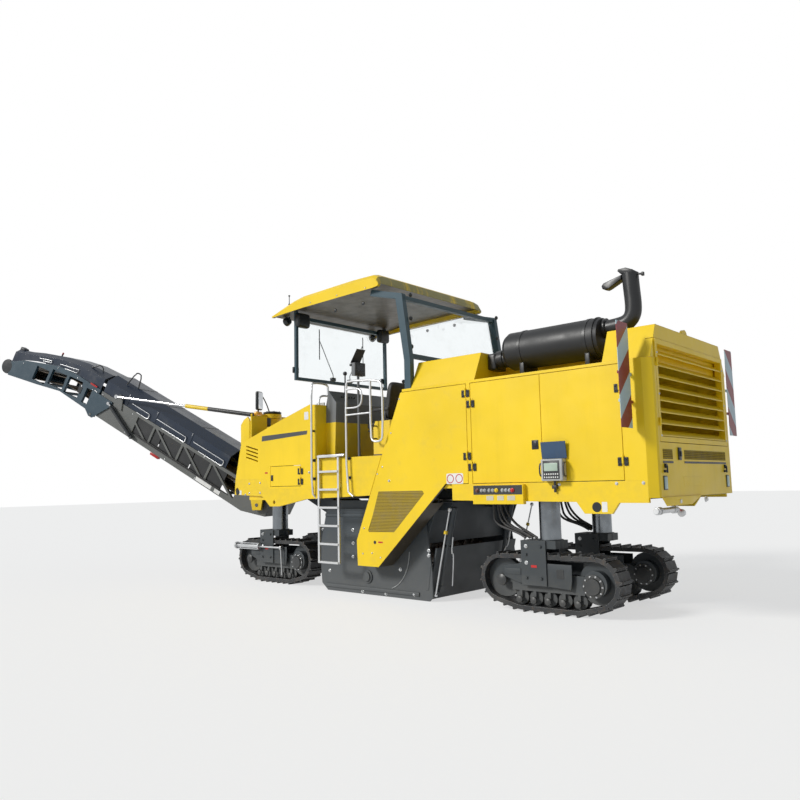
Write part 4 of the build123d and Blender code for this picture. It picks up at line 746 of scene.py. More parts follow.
class PLANER_OT_door_fittings(bpy.types.Operator):
    """Hinge plates, locks, stickers and the mesh of the belt cover on the doors and their pillars"""
    bl_idname = "planer.door_fittings"
    bl_label = "Door fittings"

    def execute(self, context):
        doors = (("engine_door_{}_rear", -3.09, (1.76, 2.56), 1), ("engine_door_{}_front", -1.085, (1.76, 2.56), -1),
                 ("side", -1.01, (1.9, 2.7), 1), ("front_door_{}", 2.22, (1.64, 1.8), 1))
        for side, s in SIDES:
            still = Shape()
            for door, x, heights, inward in doors:
                body = {"side": "belt_door_left" if s > 0 else "side_door_right"}.get(door, door.format(side))
                moving = Shape()
                for z in heights:
                    hinge_leaf(moving, x, inward, z, s)
                    hinge_leaf(still, x, -inward, z, s)
                moving.make(body + "_hinge_plates", "black_steel", body)
            still.make(f"fixed_hinge_plates_{side}", "black_steel")
            engine, front = f"engine_door_{side}_front", f"front_door_{side}"
            lock_plate(engine, (-2.005, s * HALF_W, 2.019), (0.088, 0.108), s)
            lock_plate(front, (2.925, s * HALF_W, 1.732), (0.052, 0.092), s)
        self.belt_cover()
        return {"FINISHED"}

    def belt_cover(self):
        y, door = HALF_W, "belt_door_left"
        corners = [(0.554, 1.497), (-0.245, 1.501), (-0.276, 1.46), (0.274, 0.941), (0.761, 0.928)]
        Shape().upright(y, corners, 1, 0.0012).make("belt_cover_screen", "screen_olive", door)
        ribs = Shape()
        for z in spaced(0.945, 1.486, 24):
            ahead = 0.761 - (z - 0.928) * 0.364
            behind = max(0.274 - (z - 0.941) * 1.06, -0.268)
            ribs.box((behind + 0.008, y + 0.001, z - 0.004), (ahead - 0.008, y + 0.0045, z + 0.004), 0.0012, 1)
        ribs.make("belt_cover_ribs", "screen_olive", door)
        hole = Shape().rod((0.643, y, 0.79), (0.643, y + 0.001, 0.79), 0.024, 24)
        hole.make("belt_cover_grommet", "black_steel", door)
        studs = Shape().side_bolts(y, ((0.473, 1.837), (0.571, 1.74), (0.851, 0.981), (0.879, 0.625), (0.536, 0.585),
                                       (0.7, 0.64), (0.3, 2.3), (0.13, 2.76)), 1, 0.016)
        studs.make("belt_cover_bolts", "zinc", door)
        blank_label("prohibition_sticker", (-0.797, y, 1.646), (0.27, 0.135), (0, 1, 0), body=door)
        rings = Shape()
        for x in (-0.726, -0.867):
            rings.ring((x, y + 0.0015, 1.646), (0, 1, 0), 0.057, 0.046, 0.0008)
        rings.make("prohibition_rings", "label_red", door, slot="yellow")
        blank_label("notice_red_door", (0.535, y, 0.794), (0.085, 0.022), (0, 1, 0), "label_red", door)


class PLANER_OT_body_fittings(bpy.types.Operator):
    """Bolts, lashing holes, blank plates, anti-slip strips, stripe and lifting eyes on the sills and the front hood"""
    bl_idname = "planer.body_fittings"
    bl_label = "Body fittings"

    def execute(self, context):
        bolts, holes, strips = Shape(), Shape(), Shape()
        for side, s in SIDES:
            y, out = s * HALF_W, (0, s, 0)
            bolts.side_bolts(y, ((3.528, 1.652), (3.238, 1.66), (3.527, 1.496), (3.238, 1.497), (3.637, 1.469),
                                 (-2.999, 1.548), (-3.301, 1.55), (-2.3, 1.548), (0.35, 1.64), (1.18, 1.64),
                                 (2.019, 1.8)), s, 0.024)
            # Painted shade: thin black discs stand for the lashing holes.
            for x, z, r in ((3.855, 1.515, 0.05), (-2.753, 1.294, 0.055)):
                holes.rod((x, y, z), (x, y + s * 0.0015, z), r, 28)
            for at, size in (((3.775, y, 1.505), (0.055, 0.075)), ((-2.846, y, 1.296), (0.065, 0.11))):
                blank_label(f"lashing_plate_{side}", at, size, out)
            blank_label(f"hood_plate_{side}", (2.078, y, 2.68), (0.098, 0.122), out)
            blank_label(f"hood_notice_{side}", (3.076, y, 1.819), (0.07, 0.026), out, "label_red")
            blank_label(f"sill_notice_{side}", (-0.8, s * 1.17, 1.48), (0.08, 0.022), out, "label_red")
            line = [(3.735, 2.347), (2.72, 2.651), (2.03, 2.841)]
            for (x0, z0), (x1, z1) in zip(line, line[1:]):
                lift = Vector((z1 - z0, 0, x0 - x1)).normalized() * 0.0025
                strips.sheet([(x0, s * 1.188, z0), (x0, s * 1.01, z0), (x1, s * 1.01, z1), (x1, s * 1.188, z1)],
                             (lift.x, 0, lift.z), 0.003)
            band = [(3.188, 2.426), (2.62, 2.438), (2.057, 2.449), (2.067, 2.39), (2.62, 2.366), (3.198, 2.338)]
            Shape().upright(y, band, s, 0.0008).make(f"hood_stripe_{side}", "stripe")
            profile = [(3.59, 2.392), (3.88, 2.305), (3.9, 2.42), (3.83, 2.5), (3.7, 2.565), (3.61, 2.56)]
            eye = holed_plate(Shape(), profile, (3.69, 2.47, 0.034), s * 0.88, s * 0.895)
            eye.make(f"hood_lifting_eye_{side}", "yellow")
        bolts.make("body_bolts", "zinc")
        holes.make("lashing_hole_shade", "black_steel")
        strips.make("anti_slip_strips", "grit")
        return {"FINISHED"}


class PLANER_OT_rear_face(bpy.types.Operator):
    """Mesh, latches, reflectors, bolts and lug round the radiator grille"""
    bl_idname = "planer.rear_face"
    bl_label = "Rear face"

    def execute(self, context):
        x = REAR_X
        mesh, dark, latch = Shape(), Shape(), Shape()
        for y0, y1 in ((0.76, 1.02), (-0.93, 0.42)):
            mesh.box((x - 0.003, y0, 1.8), (x, y1, 1.905))
            for y in spaced(y0 + 0.012, y1 - 0.012, int((y1 - y0) / 0.022)):
                mesh.box((x - 0.006, y - 0.003, 1.804), (x - 0.002, y + 0.003, 1.901))
            # Painted shade: a thin black strip under each mesh panel stands for its slot.
            dark.box((x - 0.004, y0 - 0.01, 1.755), (x, y1 + 0.01, 1.778), 0.001, 1)
        dark.box((x - 0.016, 0.53, 1.79), (x, 0.61, 1.93), 0.006)
        latch.box((x - 0.03, 0.552, 1.83), (x - 0.014, 0.588, 1.89), 0.005)
        for y in (0.985, -0.885):
            latch.rod((x, y, 1.725), (x - 0.022, y, 1.725), 0.024, 20)
            latch.box((x - 0.034, y - 0.008, 1.65), (x - 0.018, y + 0.012, 1.73), 0.005)
            latch.rod((x, y + 0.03, 1.668), (x - 0.026, y + 0.03, 1.668), 0.014, 16)
        mesh.make("rear_mesh", "screen_olive")
        dark.make("rear_slot_shade_and_latch_base", "black_steel")
        latch.make("rear_latches", "black_steel")
        glass, rim = Shape(), Shape()
        for y in (1.0, -0.96):
            rim.box((x - 0.008, y - 0.05, 1.47), (x, y + 0.05, 1.62), 0.004)
            glass.box((x - 0.013, y - 0.04, 1.48), (x - 0.007, y + 0.04, 1.61), 0.003)
        rim.make("reflector_rims", "black_steel")
        glass.make("reflectors", "reflector")
        blank_label("rear_name_plate", (x, 0.18, 1.555), (0.6, 0.11), (-1, 0, 0), "yellow")
        Shape().ring((-3.36, 0.02, 3.262), (-1, 0, 0), 0.085, 0.034, 0.034).make("hood_lug", "yellow")
        studs = Shape().bolts([(x, y, 1.34) for y in (0.653, -0.15)], (-1, 0, 0), 0.045)
        for y in (-1.02, 1.02):
            studs.bolts([(x, y, z) for z in (2.05, 2.5, 2.95)], (-1, 0, 0), 0.016)
        studs.make("rear_bolts", "zinc")
        return {"FINISHED"}


class PLANER_OT_exhaust(bpy.types.Operator):
    """Muffler with its bands and feet, swept tailpipe with a rain cap, and the inlet duct"""
    bl_idname = "planer.exhaust"
    bl_label = "Exhaust"

    def execute(self, context):
        y, z, r = 0.735, 3.26, 0.245
        can = Shape().lathe((-1.395, y, z), (-1, 0, 0), [(0, 0.1), (0, r - 0.07), (0.022, r - 0.028), (0.07, r),
                                                         (1.27, r), (1.27, r + 0.008), (1.284, r + 0.008),
                                                         (1.284, r - 0.006), (1.33, r - 0.012), (1.335, 0.1)], 64)
        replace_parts(can.make("muffler", "muffler", angle=30.0), "exhaust")
        pipe = Shape()
        path = [(-2.7, y, 3.365), (-2.9, y, 3.372), (-3.02, y, 3.395), (-3.085, y, 3.47), (-3.1, y, 3.58),
                (-3.085, y, 3.8), (-3.08, y, 3.96)]
        pipe.tube(path, 0.094, 28, 2)
        pipe.lathe((-2.728, y, 3.366), (-1, 0, 0.02), [(0, 0.094), (0, 0.118), (0.04, 0.118), (0.04, 0.094)], 32)
        cap = [(-3.14, 3.985), (-3.06, 4.022), (-2.97, 4.02), (-2.96, 3.998), (-3.0, 3.955), (-3.14, 3.94)]
        pipe.upright(y - 0.085, cap, 1, 0.17, 0.01)
        arm = [(-2.995, 3.96), (-2.76, 3.9), (-2.735, 3.87), (-2.745, 3.835), (-2.79, 3.818), (-2.83, 3.83),
               (-2.985, 3.9)]
        pipe.upright(y - 0.05, arm, 1, 0.1, 0.012)
        pipe.rod((-3.175, y, 3.94), (-3.235, y, 3.925), 0.012, 12)
        pipe.box((-3.245, y - 0.018, 3.905), (-3.215, y + 0.018, 3.95), 0.006)
        for x in (-2.6, -1.7):
            pipe.box((x, y - 0.17, 2.872), (x + 0.06, y + 0.17, z - r * 0.62), 0.006)
            pipe.lathe((x + 0.01, y, z), (1, 0, 0), [(0, r - 0.002), (0, r + 0.006), (0.04, r + 0.006),
                                                     (0.04, r - 0.002)], 64)
        for x, w in ((-1.42, 0.105), (-1.33, 0.12)):
            pipe.rod((x, y, 3.19), (x + 0.095, y, 3.18), w, 28)
        pipe.box((-1.25, y - 0.14, 3.04), (-1.122, y + 0.13, 3.262), 0.03, 3)
        pipe.make("tailpipe_and_duct", "black_satin")
        clamp = Shape().ring((-2.7, y, 3.366), (-1, 0, 0.02), 0.122, 0.117, 0.018, 40)
        clamp.box((-2.718, y + 0.11, 3.4), (-2.7, y + 0.135, 3.44), 0.003)
        clamp.make("pipe_clamp", "zinc")
        return {"FINISHED"}


class PLANER_OT_handrails(bpy.types.Operator):
    """Bent grab rails each side of the steps, with their grab loops and dark brackets"""
    bl_idname = "planer.handrails"
    bl_label = "Handrails"

    def execute(self, context):
        for side, s in SIDES:
            y, (x, rear_x) = s * RAIL_Y, RAILS_X
            bars = Shape()
            bars.tube([(x, s * 1.176, 1.4), (x, y, 1.49), (x, y, 2.4), (x, y, 3.13), (x, s * 1.225, 3.18),
                       (x, s * 0.96, 3.18), (x, s * 0.91, 3.13), (x, s * 0.91, 2.47)], RAIL_TUBE, 16, 1)
            bars.tube([(x, s * 1.12, 2.43), (x, s * 1.12, 2.9), (x, s * 1.075, 2.985), (x, s * 0.915, 2.995)], 0.015,
                      14, 2)
            x = rear_x
            bars.tube([(x - 0.13, y, 1.428), (x, y, 1.52), (x, y, 3.06), (x - 0.06, y, 3.112), (0.47, y, 3.06),
                       (0.395, y, 2.98), (0.395, y, 2.27), (0.44, y, 2.195), (0.585, y, 2.195), (0.63, y, 2.27),
                       (0.63, y, 3.062)], RAIL_TUBE, 16, 1)
            bars.tube([(x, y, 2.988), (0.88, y, 2.988), (0.8, y, 2.93), (0.8, y, 2.77), (0.88, y, 2.705),
                       (x, y, 2.712)], LOOP_TUBE, 14, 2)
            bars.rod((x, y, 2.61), (0.63, y, 2.61), LOOP_TUBE, 14)
            made = bars.make(f"handrails_{side}", "galvanised")
            if s > 0:
                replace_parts(made, "handrails")
            arms = Shape()
            for x in RAILS_X:
                for z in (1.7, 1.98):
                    arms.rod((x, s * HALF_W, z), (x, y, z), 0.012, 12)
                    arms.box((x - 0.03, s * HALF_W, z - 0.022), (x + 0.03, s * 1.222, z + 0.022), 0.004)
            arms.rod((RAILS_X[0], y, 2.43), (RAILS_X[0], s * 0.905, 2.43), 0.016, 14)
            for z in (2.24, 2.42):
                arms.rod((0.612, s * 1.15, z), (0.612, y, z), 0.011, 12)
            arms.make(f"rail_arms_{side}", "black_steel")
        return {"FINISHED"}


class PLANER_OT_belt_covers(bpy.types.Operator):
    """Folded sheet covers over both sections of the conveyor, with grab loops and hoops"""
    bl_idname = "planer.belt_covers"
    bl_label = "Belt covers"

    def cover(self, name, body, node, sections):
        shape = Shape(LUFFED)
        loops = []
        for u, foot, side, top, flat in sections:
            outline = [(-0.436, foot), (-0.436, side), (-flat, top), (flat, top), (0.436, side), (0.436, foot),
                       (0.428, foot), (0.428, side - 0.004), (flat - 0.004, top - 0.01), (0.004 - flat, top - 0.01),
                       (-0.428, side - 0.004), (-0.428, foot)]
            loops.append(shape.loop([(u, y, w) for y, w in outline]))
        shape.walls(loops)
        for loop in (loops[0], loops[-1]):
            for i in range(5):
                shape.bm.faces.new((loop[i], loop[i + 1], loop[10 - i], loop[11 - i]))
        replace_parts(shape.make(name, "navy_cover", body, angle=20.0), node)

    def execute(self, context):
        self.cover("main_belt_cover", "conveyor", "conveyor_cover", [(u, 0.237, 0.48, 0.625, 0.25) for u in (0.985,
                                                                                                             1.95, 2.9,
                                                                                                             3.7,
                                                                                                             4.378)])
        self.cover("nose_belt_cover", "nose", "nose_cover", [(4.462, 0.24, 0.47, 0.575, 0.25),
                                                             (5.213, 0.242, 0.44, 0.52, 0.26),
                                                             (5.731, 0.195, 0.345, 0.418, 0.29),
                                                             (6.36, 0.02, 0.15, 0.232, 0.33),
                                                             (6.7, -0.105, 0.045, 0.108, 0.34),
                                                             (7.055, -0.292, -0.06, 0.008, 0.35)])
        loops, hoops, joints = Shape(LUFFED), Shape(LUFFED), Shape(LUFFED)
        for s in BOTH:
            y, foot, w = s * COVER_Y, s * 0.438, 0.345
            for u0, u1 in ((3.56, 3.06), (2.85, 2.05), (1.85, 1.06)):
                loops.tube([(u0, foot, w), (u0, y, w), (u1 + 0.02, y, w), (u1, y, w - 0.02), (u1, y, w - 0.085),
                            (u1 + 0.02, y, w - 0.105), (u0 - 0.18, y, w - 0.105), (u0 - 0.18, foot, w - 0.105)], 0.009,
                           10)
            for u in COVER_JOINTS:
                joints.box((u - 0.02, s * 0.434, 0.245), (u + 0.02, s * 0.442, 0.476), 0.003)
        loops.make("cover_grab_loops", "galvanised", "conveyor")
        joints.make("cover_joint_strips", "navy_cover", "conveyor")
        for u in COVER_JOINTS:
            hoops.box((u - 0.018, -0.252, 0.622), (u + 0.018, 0.252, 0.629), 0.003)
        hoops.tube([(3.989, 0.33, 0.59), (3.9, 0.32, 0.88), (3.851, 0.3, 0.905), (3.78, 0.28, 0.88),
                    (3.738, 0.27, 0.62)], 0.013, 12, 1)
        hoops.make("cover_hoop", "black_steel", "conveyor")
        nose = Shape(LUFFED).tube([(5.016, 0.33, 0.5), (4.9, 0.32, 0.59), (4.859, 0.31, 0.63), (4.76, 0.3, 0.62),
                                   (4.712, 0.3, 0.525)], 0.013, 12, 1)
        nose.make("nose_hoop", "black_steel", "nose")
        rails = Shape(LUFFED)
        for s in BOTH:
            for line in ([(6.317, 0.11), (5.975, 0.205), (5.955, 0.165), (6.2, 0.1)],
                         [(5.721, 0.24), (5.19, 0.345), (5.2, 0.27), (5.56, 0.21)]):
                rails.tube([(u, s * TRUSS_Y, w) for u, w in line], 0.008, 10)
        rails.make("nose_grab_loops", "galvanised", "nose")
        return {"FINISHED"}


class PLANER_OT_conveyor_fittings(bpy.types.Operator):
    """Caps and lamps of the nose, bolts, blank plates, side sheets, belt idlers and hoses of the conveyor"""
    bl_idname = "planer.conveyor_fittings"
    bl_label = "Conveyor fittings"

    def execute(self, context):
        black, red, white = Shape(LUFFED), Shape(LUFFED), Shape(LUFFED)
        for s in BOTH:
            y = s * TRUSS_Y
            black.lathe((7.12, s * 0.395, -0.44), (0, s, 0), [(0, 0.05), (0, 0.15), (0.03, 0.16), (0.055, 0.15),
                                                              (0.06, 0.05)], 40)
            white.side_bolts(y, ((6.69, -0.18), (5.735, 0.14), (5.13, 0.18), (4.64, 0.15), (4.64, -0.18),
                                 (6.18, -0.33)), s, 0.016)
            black.box((4.905, y, -0.07), (5.005, y + s * 0.004, 0.075), 0.002, 1)
        black.rod((6.95, 0.3, -0.13), (6.99, 0.3, 0.01), 0.02, 16)
        black.box((6.93, 0.24, 0.0), (7.06, 0.36, 0.075), 0.012, 3)
        black.rod((6.032, 0.2, 0.3), (6.032, 0.2, 0.375), 0.016, 16)
        red.rod((6.032, 0.2, 0.375), (6.032, 0.2, 0.41), 0.022, 20, 0.016)
        red.box((4.56, 0.453, 0.225), (4.76, 0.458, 0.262), 0.002, 1)
        white.box((4.5, 0.453, 0.08), (4.6, 0.457, 0.165), 0.002, 1)
        black.make("nose_lamps_and_caps", "black_steel", "nose")
        red.make("nose_signal_lamp", "signal_red", "nose")
        white.make("nose_bolts", "zinc", "nose")
        plates, pins, under = Shape(LUFFED), Shape(LUFFED), Shape(LUFFED)
        for s in BOTH:
            y = s * TRUSS_Y
            pins.side_bolts(y, ((4.34, 0.18), (4.34, -0.23), (3.45, 0.17), (3.45, -0.23), (3.884, 0.15), (2.3, 0.205),
                                (1.5, 0.205), (1.5, -0.25), (2.3, -0.25)), s, 0.018)
            for u0, u1 in ((1.08, 1.48), (0.86, 1.0)):
                plates.box((u0, y, -0.262), (u1, y + s * 0.003, -0.19), 0.001, 1)
        for u in spaced(0.7, 4.1, 9):
            under.rod((u, -0.38, -0.125), (u, 0.38, -0.125), 0.032, 20)
            for s in BOTH:
                under.rod((u, s * 0.15, 0.04), (u, s * 0.385, 0.11), 0.034, 20)
            under.rod((u, -0.15, 0.04), (u, 0.15, 0.04), 0.034, 20)
        red = Shape(LUFFED).box((2.48, 0.35, -0.345), (2.7, 0.43, -0.284), 0.012, 3)
        red.make("conveyor_signal_lamp", "signal_red", "conveyor")
        plates.make("conveyor_blank_plates", "label_white", "conveyor")
        pins.make("conveyor_bolts", "zinc", "conveyor")
        under.make("belt_idlers", "black_steel", "conveyor")
        sheets = Shape(LUFFED)
        for s in BOTH:
            for u in (0.9, 1.75, 2.6):
                sheets.box((u, s * 0.424, -0.215), (u + 0.83, s * 0.43, 0.19), 0.002, 1)
        sheets.make("truss_side_sheets", "black_satin", "conveyor")
        hose = Shape(LUFFED)
        for k, y in enumerate((0.464, 0.479)):
            line = ((0.9, -0.155), (1.7, -0.15), (2.7, -0.152), (3.15, -0.15))
            hose.tube([(u, y, w - 0.018 * k) for u, w in line], 0.009, 10)
        hose.make("conveyor_hoses", "hose", "conveyor")
        return {"FINISHED"}


class PLANER_OT_mast(bpy.types.Operator):
    """Cap of the slewing post, mirror on its stalk, amber lamp and the slewing valve"""
    bl_idname = "planer.mast"
    bl_label = "Slewing post"

    def execute(self, context):
        post = Shape(SLEWED)
        post.lathe((0, 0, 2.952), (0, 0, 1), [(0, 0.04), (0, 0.15), (0.018, 0.172), (0.04, 0.172), (0.055, 0.11),
                                              (0.058, 0.02)], 40)
        for a in range(6):
            t = math.radians(60 * a + 15)
            post.bolt((0.135 * math.cos(t), 0.135 * math.sin(t), 2.992), (0, 0, 1), 0.026)
        post.make("mast_cap", "black_steel", "slew")
        arm, glass, amber = Shape(SLEWED), Shape(SLEWED), Shape(SLEWED)
        arm.tube([(-0.02, 0.13, 2.975), (-0.04, 0.26, 3.12), (-0.05, 0.42, 3.26), (-0.055, 0.52, 3.27)], 0.011, 12, 2)
        arm.box((-0.1, 0.478, 2.985), (-0.03, 0.645, 3.33), 0.03, 4)
        glass.box((-0.106, 0.492, 3.005), (-0.098, 0.631, 3.31), 0.004, 2)
        amber.box((-0.1, 0.48, 2.895), (0.0, 0.65, 2.96), 0.028, 4)
        arm.rod((-0.05, 0.565, 2.955), (-0.05, 0.565, 2.995), 0.014, 12)
        arm.make("mirror_and_stalk", "black_steel", "slew")
        glass.make("mirror_face", "mirror", "slew")
        amber.make("work_lamp", "amber", "slew")
        Shape().box((4.25, 0.19, 2.7), (4.36, 0.29, 2.862), 0.006).make("slew_valve", "black_steel")
        return {"FINISHED"}


class PLANER_OT_operator_station(bpy.types.Operator):
    """Seats, levers and display on the console, floor mat and the door in the front hood's rear"""
    bl_idname = "planer.operator_station"
    bl_label = "Operator's station"

    def seat(self, side, s):
        y, body = s * 0.442, f"seat_{side}"
        stand = Shape()
        stand.lathe((1.08, y, 2.003), (0, 0, 1), [(0, 0.02), (0, 0.15), (0.02, 0.15), (0.024, 0.1), (0.04, 0.095),
                                                  (0.06, 0.11), (0.08, 0.095), (0.1, 0.11), (0.12, 0.095),
                                                  (0.33, 0.095), (0.35, 0.15), (0.39, 0.16), (0.395, 0.02)], 32)
        stand.box((0.87, y - 0.2, 2.395), (1.3, y + 0.2, 2.425), 0.01)
        for t in BOTH:
            stand.box((0.9, y + t * 0.215 - 0.012, 2.4), (0.93, y + t * 0.215 + 0.012, 2.7), 0.005)
        stand.rod((0.9, y, 2.43), (0.81, y, 3.05), 0.02, 12)
        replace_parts(stand.make(f"seat_frame_{side}", "black_steel", body), body)
        arm = (0.165, 0.016, 0.022)
        for name, at, half, lean, fill in (("cushion", (1.085, y, 2.485), (0.245, 0.232, 0.062), 0.0, 0.85),
                                           ("backrest", (0.855, y, 2.85), (0.06, 0.225, 0.29), -0.18, 0.85),
                                           ("armrest_outer", (1.0, y + 0.222, 2.722), arm, 0.0, 0.95),
                                           ("armrest_inner", (1.0, y - 0.222, 2.722), arm, 0.0, 0.95)):
            pad = pad_form(f"seat_{name}_{side}", at, half, lean, body)
            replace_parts(pad, body)

    def execute(self, context):
        for side, s in SIDES:
            self.seat(side, s)
        dark, silver = Shape(), Shape()
        for s in BOTH:
            y = s * 0.7
            dark.tube([(1.735, y, 2.99), (1.73, y, 3.16), (1.728, y, 3.33)], 0.011, 12)
            dark.lathe((1.728, y, 3.322), (0, 0, 1), [(0, 0.012), (0.01, 0.028), (0.032, 0.034), (0.054, 0.026),
                                                      (0.064, 0.008)], 20)
            for k in range(6):
                dark.rod((1.7, y + 0.055 * (k - 3), 2.96), (1.694, y + 0.055 * (k - 3), 2.985), 0.012, 14)
        silver.sheet([(1.8, y, z) for y, z in ((0.96, 2.862), (0.24, 2.862), (0.24, 3.035), (0.96, 3.035))],
                     (-0.4, 0, 0.9), 0.004)
        silver.make("console_plate", "galvanised")
        dark.make("console_levers", "black_steel")
        case, face = Shape(), Shape()
        case.box((1.384, 0.588, 3.278), (1.398, 0.812, 3.484), 0.005)
        case.sheet([(1.5, 0.6, 3.485), (1.5, 0.8, 3.485), (1.36, 0.795, 3.69), (1.36, 0.605, 3.69)], (0.8, 0, 0.5),
                   0.004)
        case.box((1.465, 0.575, 3.43), (1.5, 0.6, 3.47), 0.006)
        case.box((1.465, 0.8, 3.43), (1.5, 0.825, 3.47), 0.006)
        face.box((1.38, 0.625, 3.35), (1.3855, 0.775, 3.462), 0.002, 1)
        case.make("display_case", "panel_dark")
        face.make("display_glass", "screen_dark")
        mats = Shape().box((-0.02, -1.1, 2.001), (1.64, 1.1, 2.006), 0.002, 1)
        for x in spaced(0.02, 1.6, 40):
            mats.box((x - 0.006, -1.09, 2.006), (x + 0.006, 1.09, 2.009))
        mats.make("floor_mat", "hose")
        door = Shape()
        door.box((1.84, 0.32, 2.095), (1.849, 0.7, 2.8), 0.004)
        for z in (2.25, 2.64):
            door.box((1.822, 0.69, z - 0.03), (1.842, 0.73, z + 0.03), 0.005)
        door.make("hood_rear_door", "yellow")
        return {"FINISHED"}


class PLANER_OT_canopy(bpy.types.Operator):
    """Arched roof with turned-down edges, screen blocks, clamps, wipers, lamp and antenna"""
    bl_idname = "planer.canopy"
    bl_label = "Canopy"

    def execute(self, context):
        top = [(0.445, 4.505), (0.48, 4.59), (0.56, 4.632), (1.0, 4.638), (1.5, 4.624), (2.1, 4.606), (2.3, 4.575),
               (2.48, 4.532), (2.7, 4.47), (2.856, 4.41)]
        low = [(0.44, 4.44), (0.47, 4.42), (0.56, 4.412), (1.0, 4.408), (1.5, 4.4), (2.1, 4.392), (2.3, 4.384),
               (2.48, 4.376), (2.7, 4.366), (2.858, 4.357)]
        loops, shape = [], Shape()
        for (x, z), (xb, zb) in zip(top, low):
            drop = min(0.075, (z - zb) * 0.6)
            line = [(-1.262, zb), (-1.268, z - drop), (-1.225, z - drop * 0.3), (-1.12, z), (-0.56, z + 0.002),
                    (0, z + 0.002), (0.56, z + 0.002), (1.12, z), (1.225, z - drop * 0.3), (1.268, z - drop),
                    (1.262, zb), (1.215, zb), (1.205, zb + (z - zb) * 0.35), (-1.205, zb + (z - zb) * 0.35),
                    (-1.215, zb)]
            loops.append(shape.loop([(x if w > zb + 0.001 else xb, y, w) for y, w in line]))
        shape.skin(loops)
        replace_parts(shape.make("canopy_shell", "roof", angle=28.0), "canopy_roof")
        black, silver = Shape(), Shape()
        for s in BOTH:
            black.box((2.38, s * 0.83, 4.165), (2.505, s * 1.095, 4.405), 0.05, 5)
            black.box((2.512, s * 0.98, 3.42), (2.545, s * 1.1, 3.52), 0.01)
            for z in (3.5, 3.9, 4.24):
                black.lathe((0.02, s * 1.06, z), (-1, 0, 0), [(0, 0.01), (0.002, 0.03), (0.018, 0.032), (0.03, 0.02),
                                                              (0.034, 0.006)], 20)
            for x in (0.3, 0.9, 1.5):
                black.lathe((x, s * 1.098, 4.27), (0, s, 0), [(0, 0.01), (0.002, 0.026), (0.014, 0.028),
                                                              (0.026, 0.006)], 18)
            black.tube([(2.53, s * 0.2, 3.4), (2.545, s * 0.2, 3.48), (2.54, s * 0.52, 4.06)], 0.007, 8)
            black.box((2.522, s * 0.52 - 0.008, 3.7), (2.53, s * 0.52 + 0.008, 4.22), 0.002)
            black.box((2.515, s * 0.2 - 0.05, 3.365), (2.57, s * 0.2 + 0.05, 3.425), 0.012)
            black.lathe((2.7, s * 1.02, 4.33), (1, 0, -0.25), [(0, 0.03), (0.02, 0.06), (0.075, 0.072), (0.09, 0.072),
                                                               (0.094, 0.03)], 28)
            black.rod((2.7, s * 1.02, 4.385), (2.7, s * 1.02, 4.32), 0.012, 10)
            silver.bolts([(x, s * 1.268, 4.44) for x in (0.7, 1.3, 1.9)], (0, s, 0), 0.013)
        black.rod((2.55, 1.15, 4.5), (2.55, 1.15, 4.69), 0.006, 8)
        for z in (4.55, 4.69):
            black.lathe((2.55, 1.15, z - 0.014), (0, 0, 1), [(0, 0.004), (0.005, 0.014), (0.014, 0.018),
                                                             (0.023, 0.014), (0.028, 0.004)], 16)
        black.make("canopy_blocks_and_wipers", "black_steel")
        silver.make("canopy_bolts", "zinc")
        return {"FINISHED"}


class PLANER_OT_housing_fittings(bpy.types.Operator):
    """Bolts, boss, hose and slot on the edge plates, and the scraper's height rods"""
    bl_idname = "planer.housing_fittings"
    bl_label = "Housing fittings"

    def execute(self, context):
        for side, s in SIDES:
            body = f"edge_plate_{side}"
            y = s * (0.904 if s > 0 else 1.164)
            bolts, boss = Shape(), Shape()
            bolts.side_bolts(y, ((-0.079, 0.685), (-0.077, 0.619), (1.39, 0.925), (1.385, 0.73), (1.389, 0.534),
                                 (0.446, 0.4), (1.199, 0.04), (0.197, 0.078), (0.73, 0.043), (1.9, 0.3)), s, 0.034)
            boss.lathe((1.09, y, 0.262), (0, s, 0), [(0, 0.02), (0, 0.095), (0.018, 0.095), (0.02, 0.07),
                                                     (0.04, 0.066), (0.044, 0.02)], 36)
            boss.box((0.1, y, 0.06), (1.98, y + s * 0.018, 0.11), 0.004)
            if s > 0:    # on the right the lifted plate would carry a top strip into the frame
                boss.box((0.1, y, 1.12), (1.98, y + s * 0.018, 1.165), 0.004)
            boss.upright(y, [(-0.06, 0.461), (-0.112, 0.484), (-0.06, 0.15), (-0.012, 0.144)], s, 0.004)
            boss.make(f"plate_boss_{side}", "frame_grey", body)
            bolts.make(f"plate_bolts_{side}", "zinc", body)
            line = ((0.268, 0.651), (0.284, 0.514), (0.346, 0.341), (0.467, 0.196), (0.611, 0.128))
            hose = Shape().tube([(x, y + s * 0.005, z) for x, z in line], 0.0055, 10, 2)
            hose.make(f"plate_hose_{side}", "hose_pale", body)
        rods, caps = Shape(), Shape()
        for s in BOTH:
            shift = 0.0 if s > 0 else 0.26
            foot, top = Vector((-0.145, s * 0.862 - shift, 0.091)), Vector((-0.45, s * 0.902 - shift, 1.219))
            rods.rod(foot, top, 0.011, 14)
            rods.lathe(foot - Vector((0, 0, 0.02)), top - foot, [(0, 0.008), (0.004, 0.022), (0.03, 0.022),
                                                                 (0.034, 0.01)], 16)
            rods.lathe(top, top - foot, [(-0.012, 0.011), (0.006, 0.026), (0.024, 0.03), (0.044, 0.022),
                                         (0.052, 0.006)], 20)
            at = foot.lerp(top, 0.73)
            caps.lathe(at, top - foot, [(0, 0.012), (0, 0.026), (0.04, 0.026), (0.044, 0.012)], 20)
            rods.tube([(-0.15, s * 0.5, 0.174), (-0.29, s * 0.63, 0.63), (-0.3, s * 0.69, 0.64),
                       (-0.345, s * 0.7, 0.86)], 0.01, 12, 1)
        rods.make("scraper_rods", "zinc", "scraper")
        caps.make("scraper_rod_caps", "yellow", "scraper")
        return {"FINISHED"}


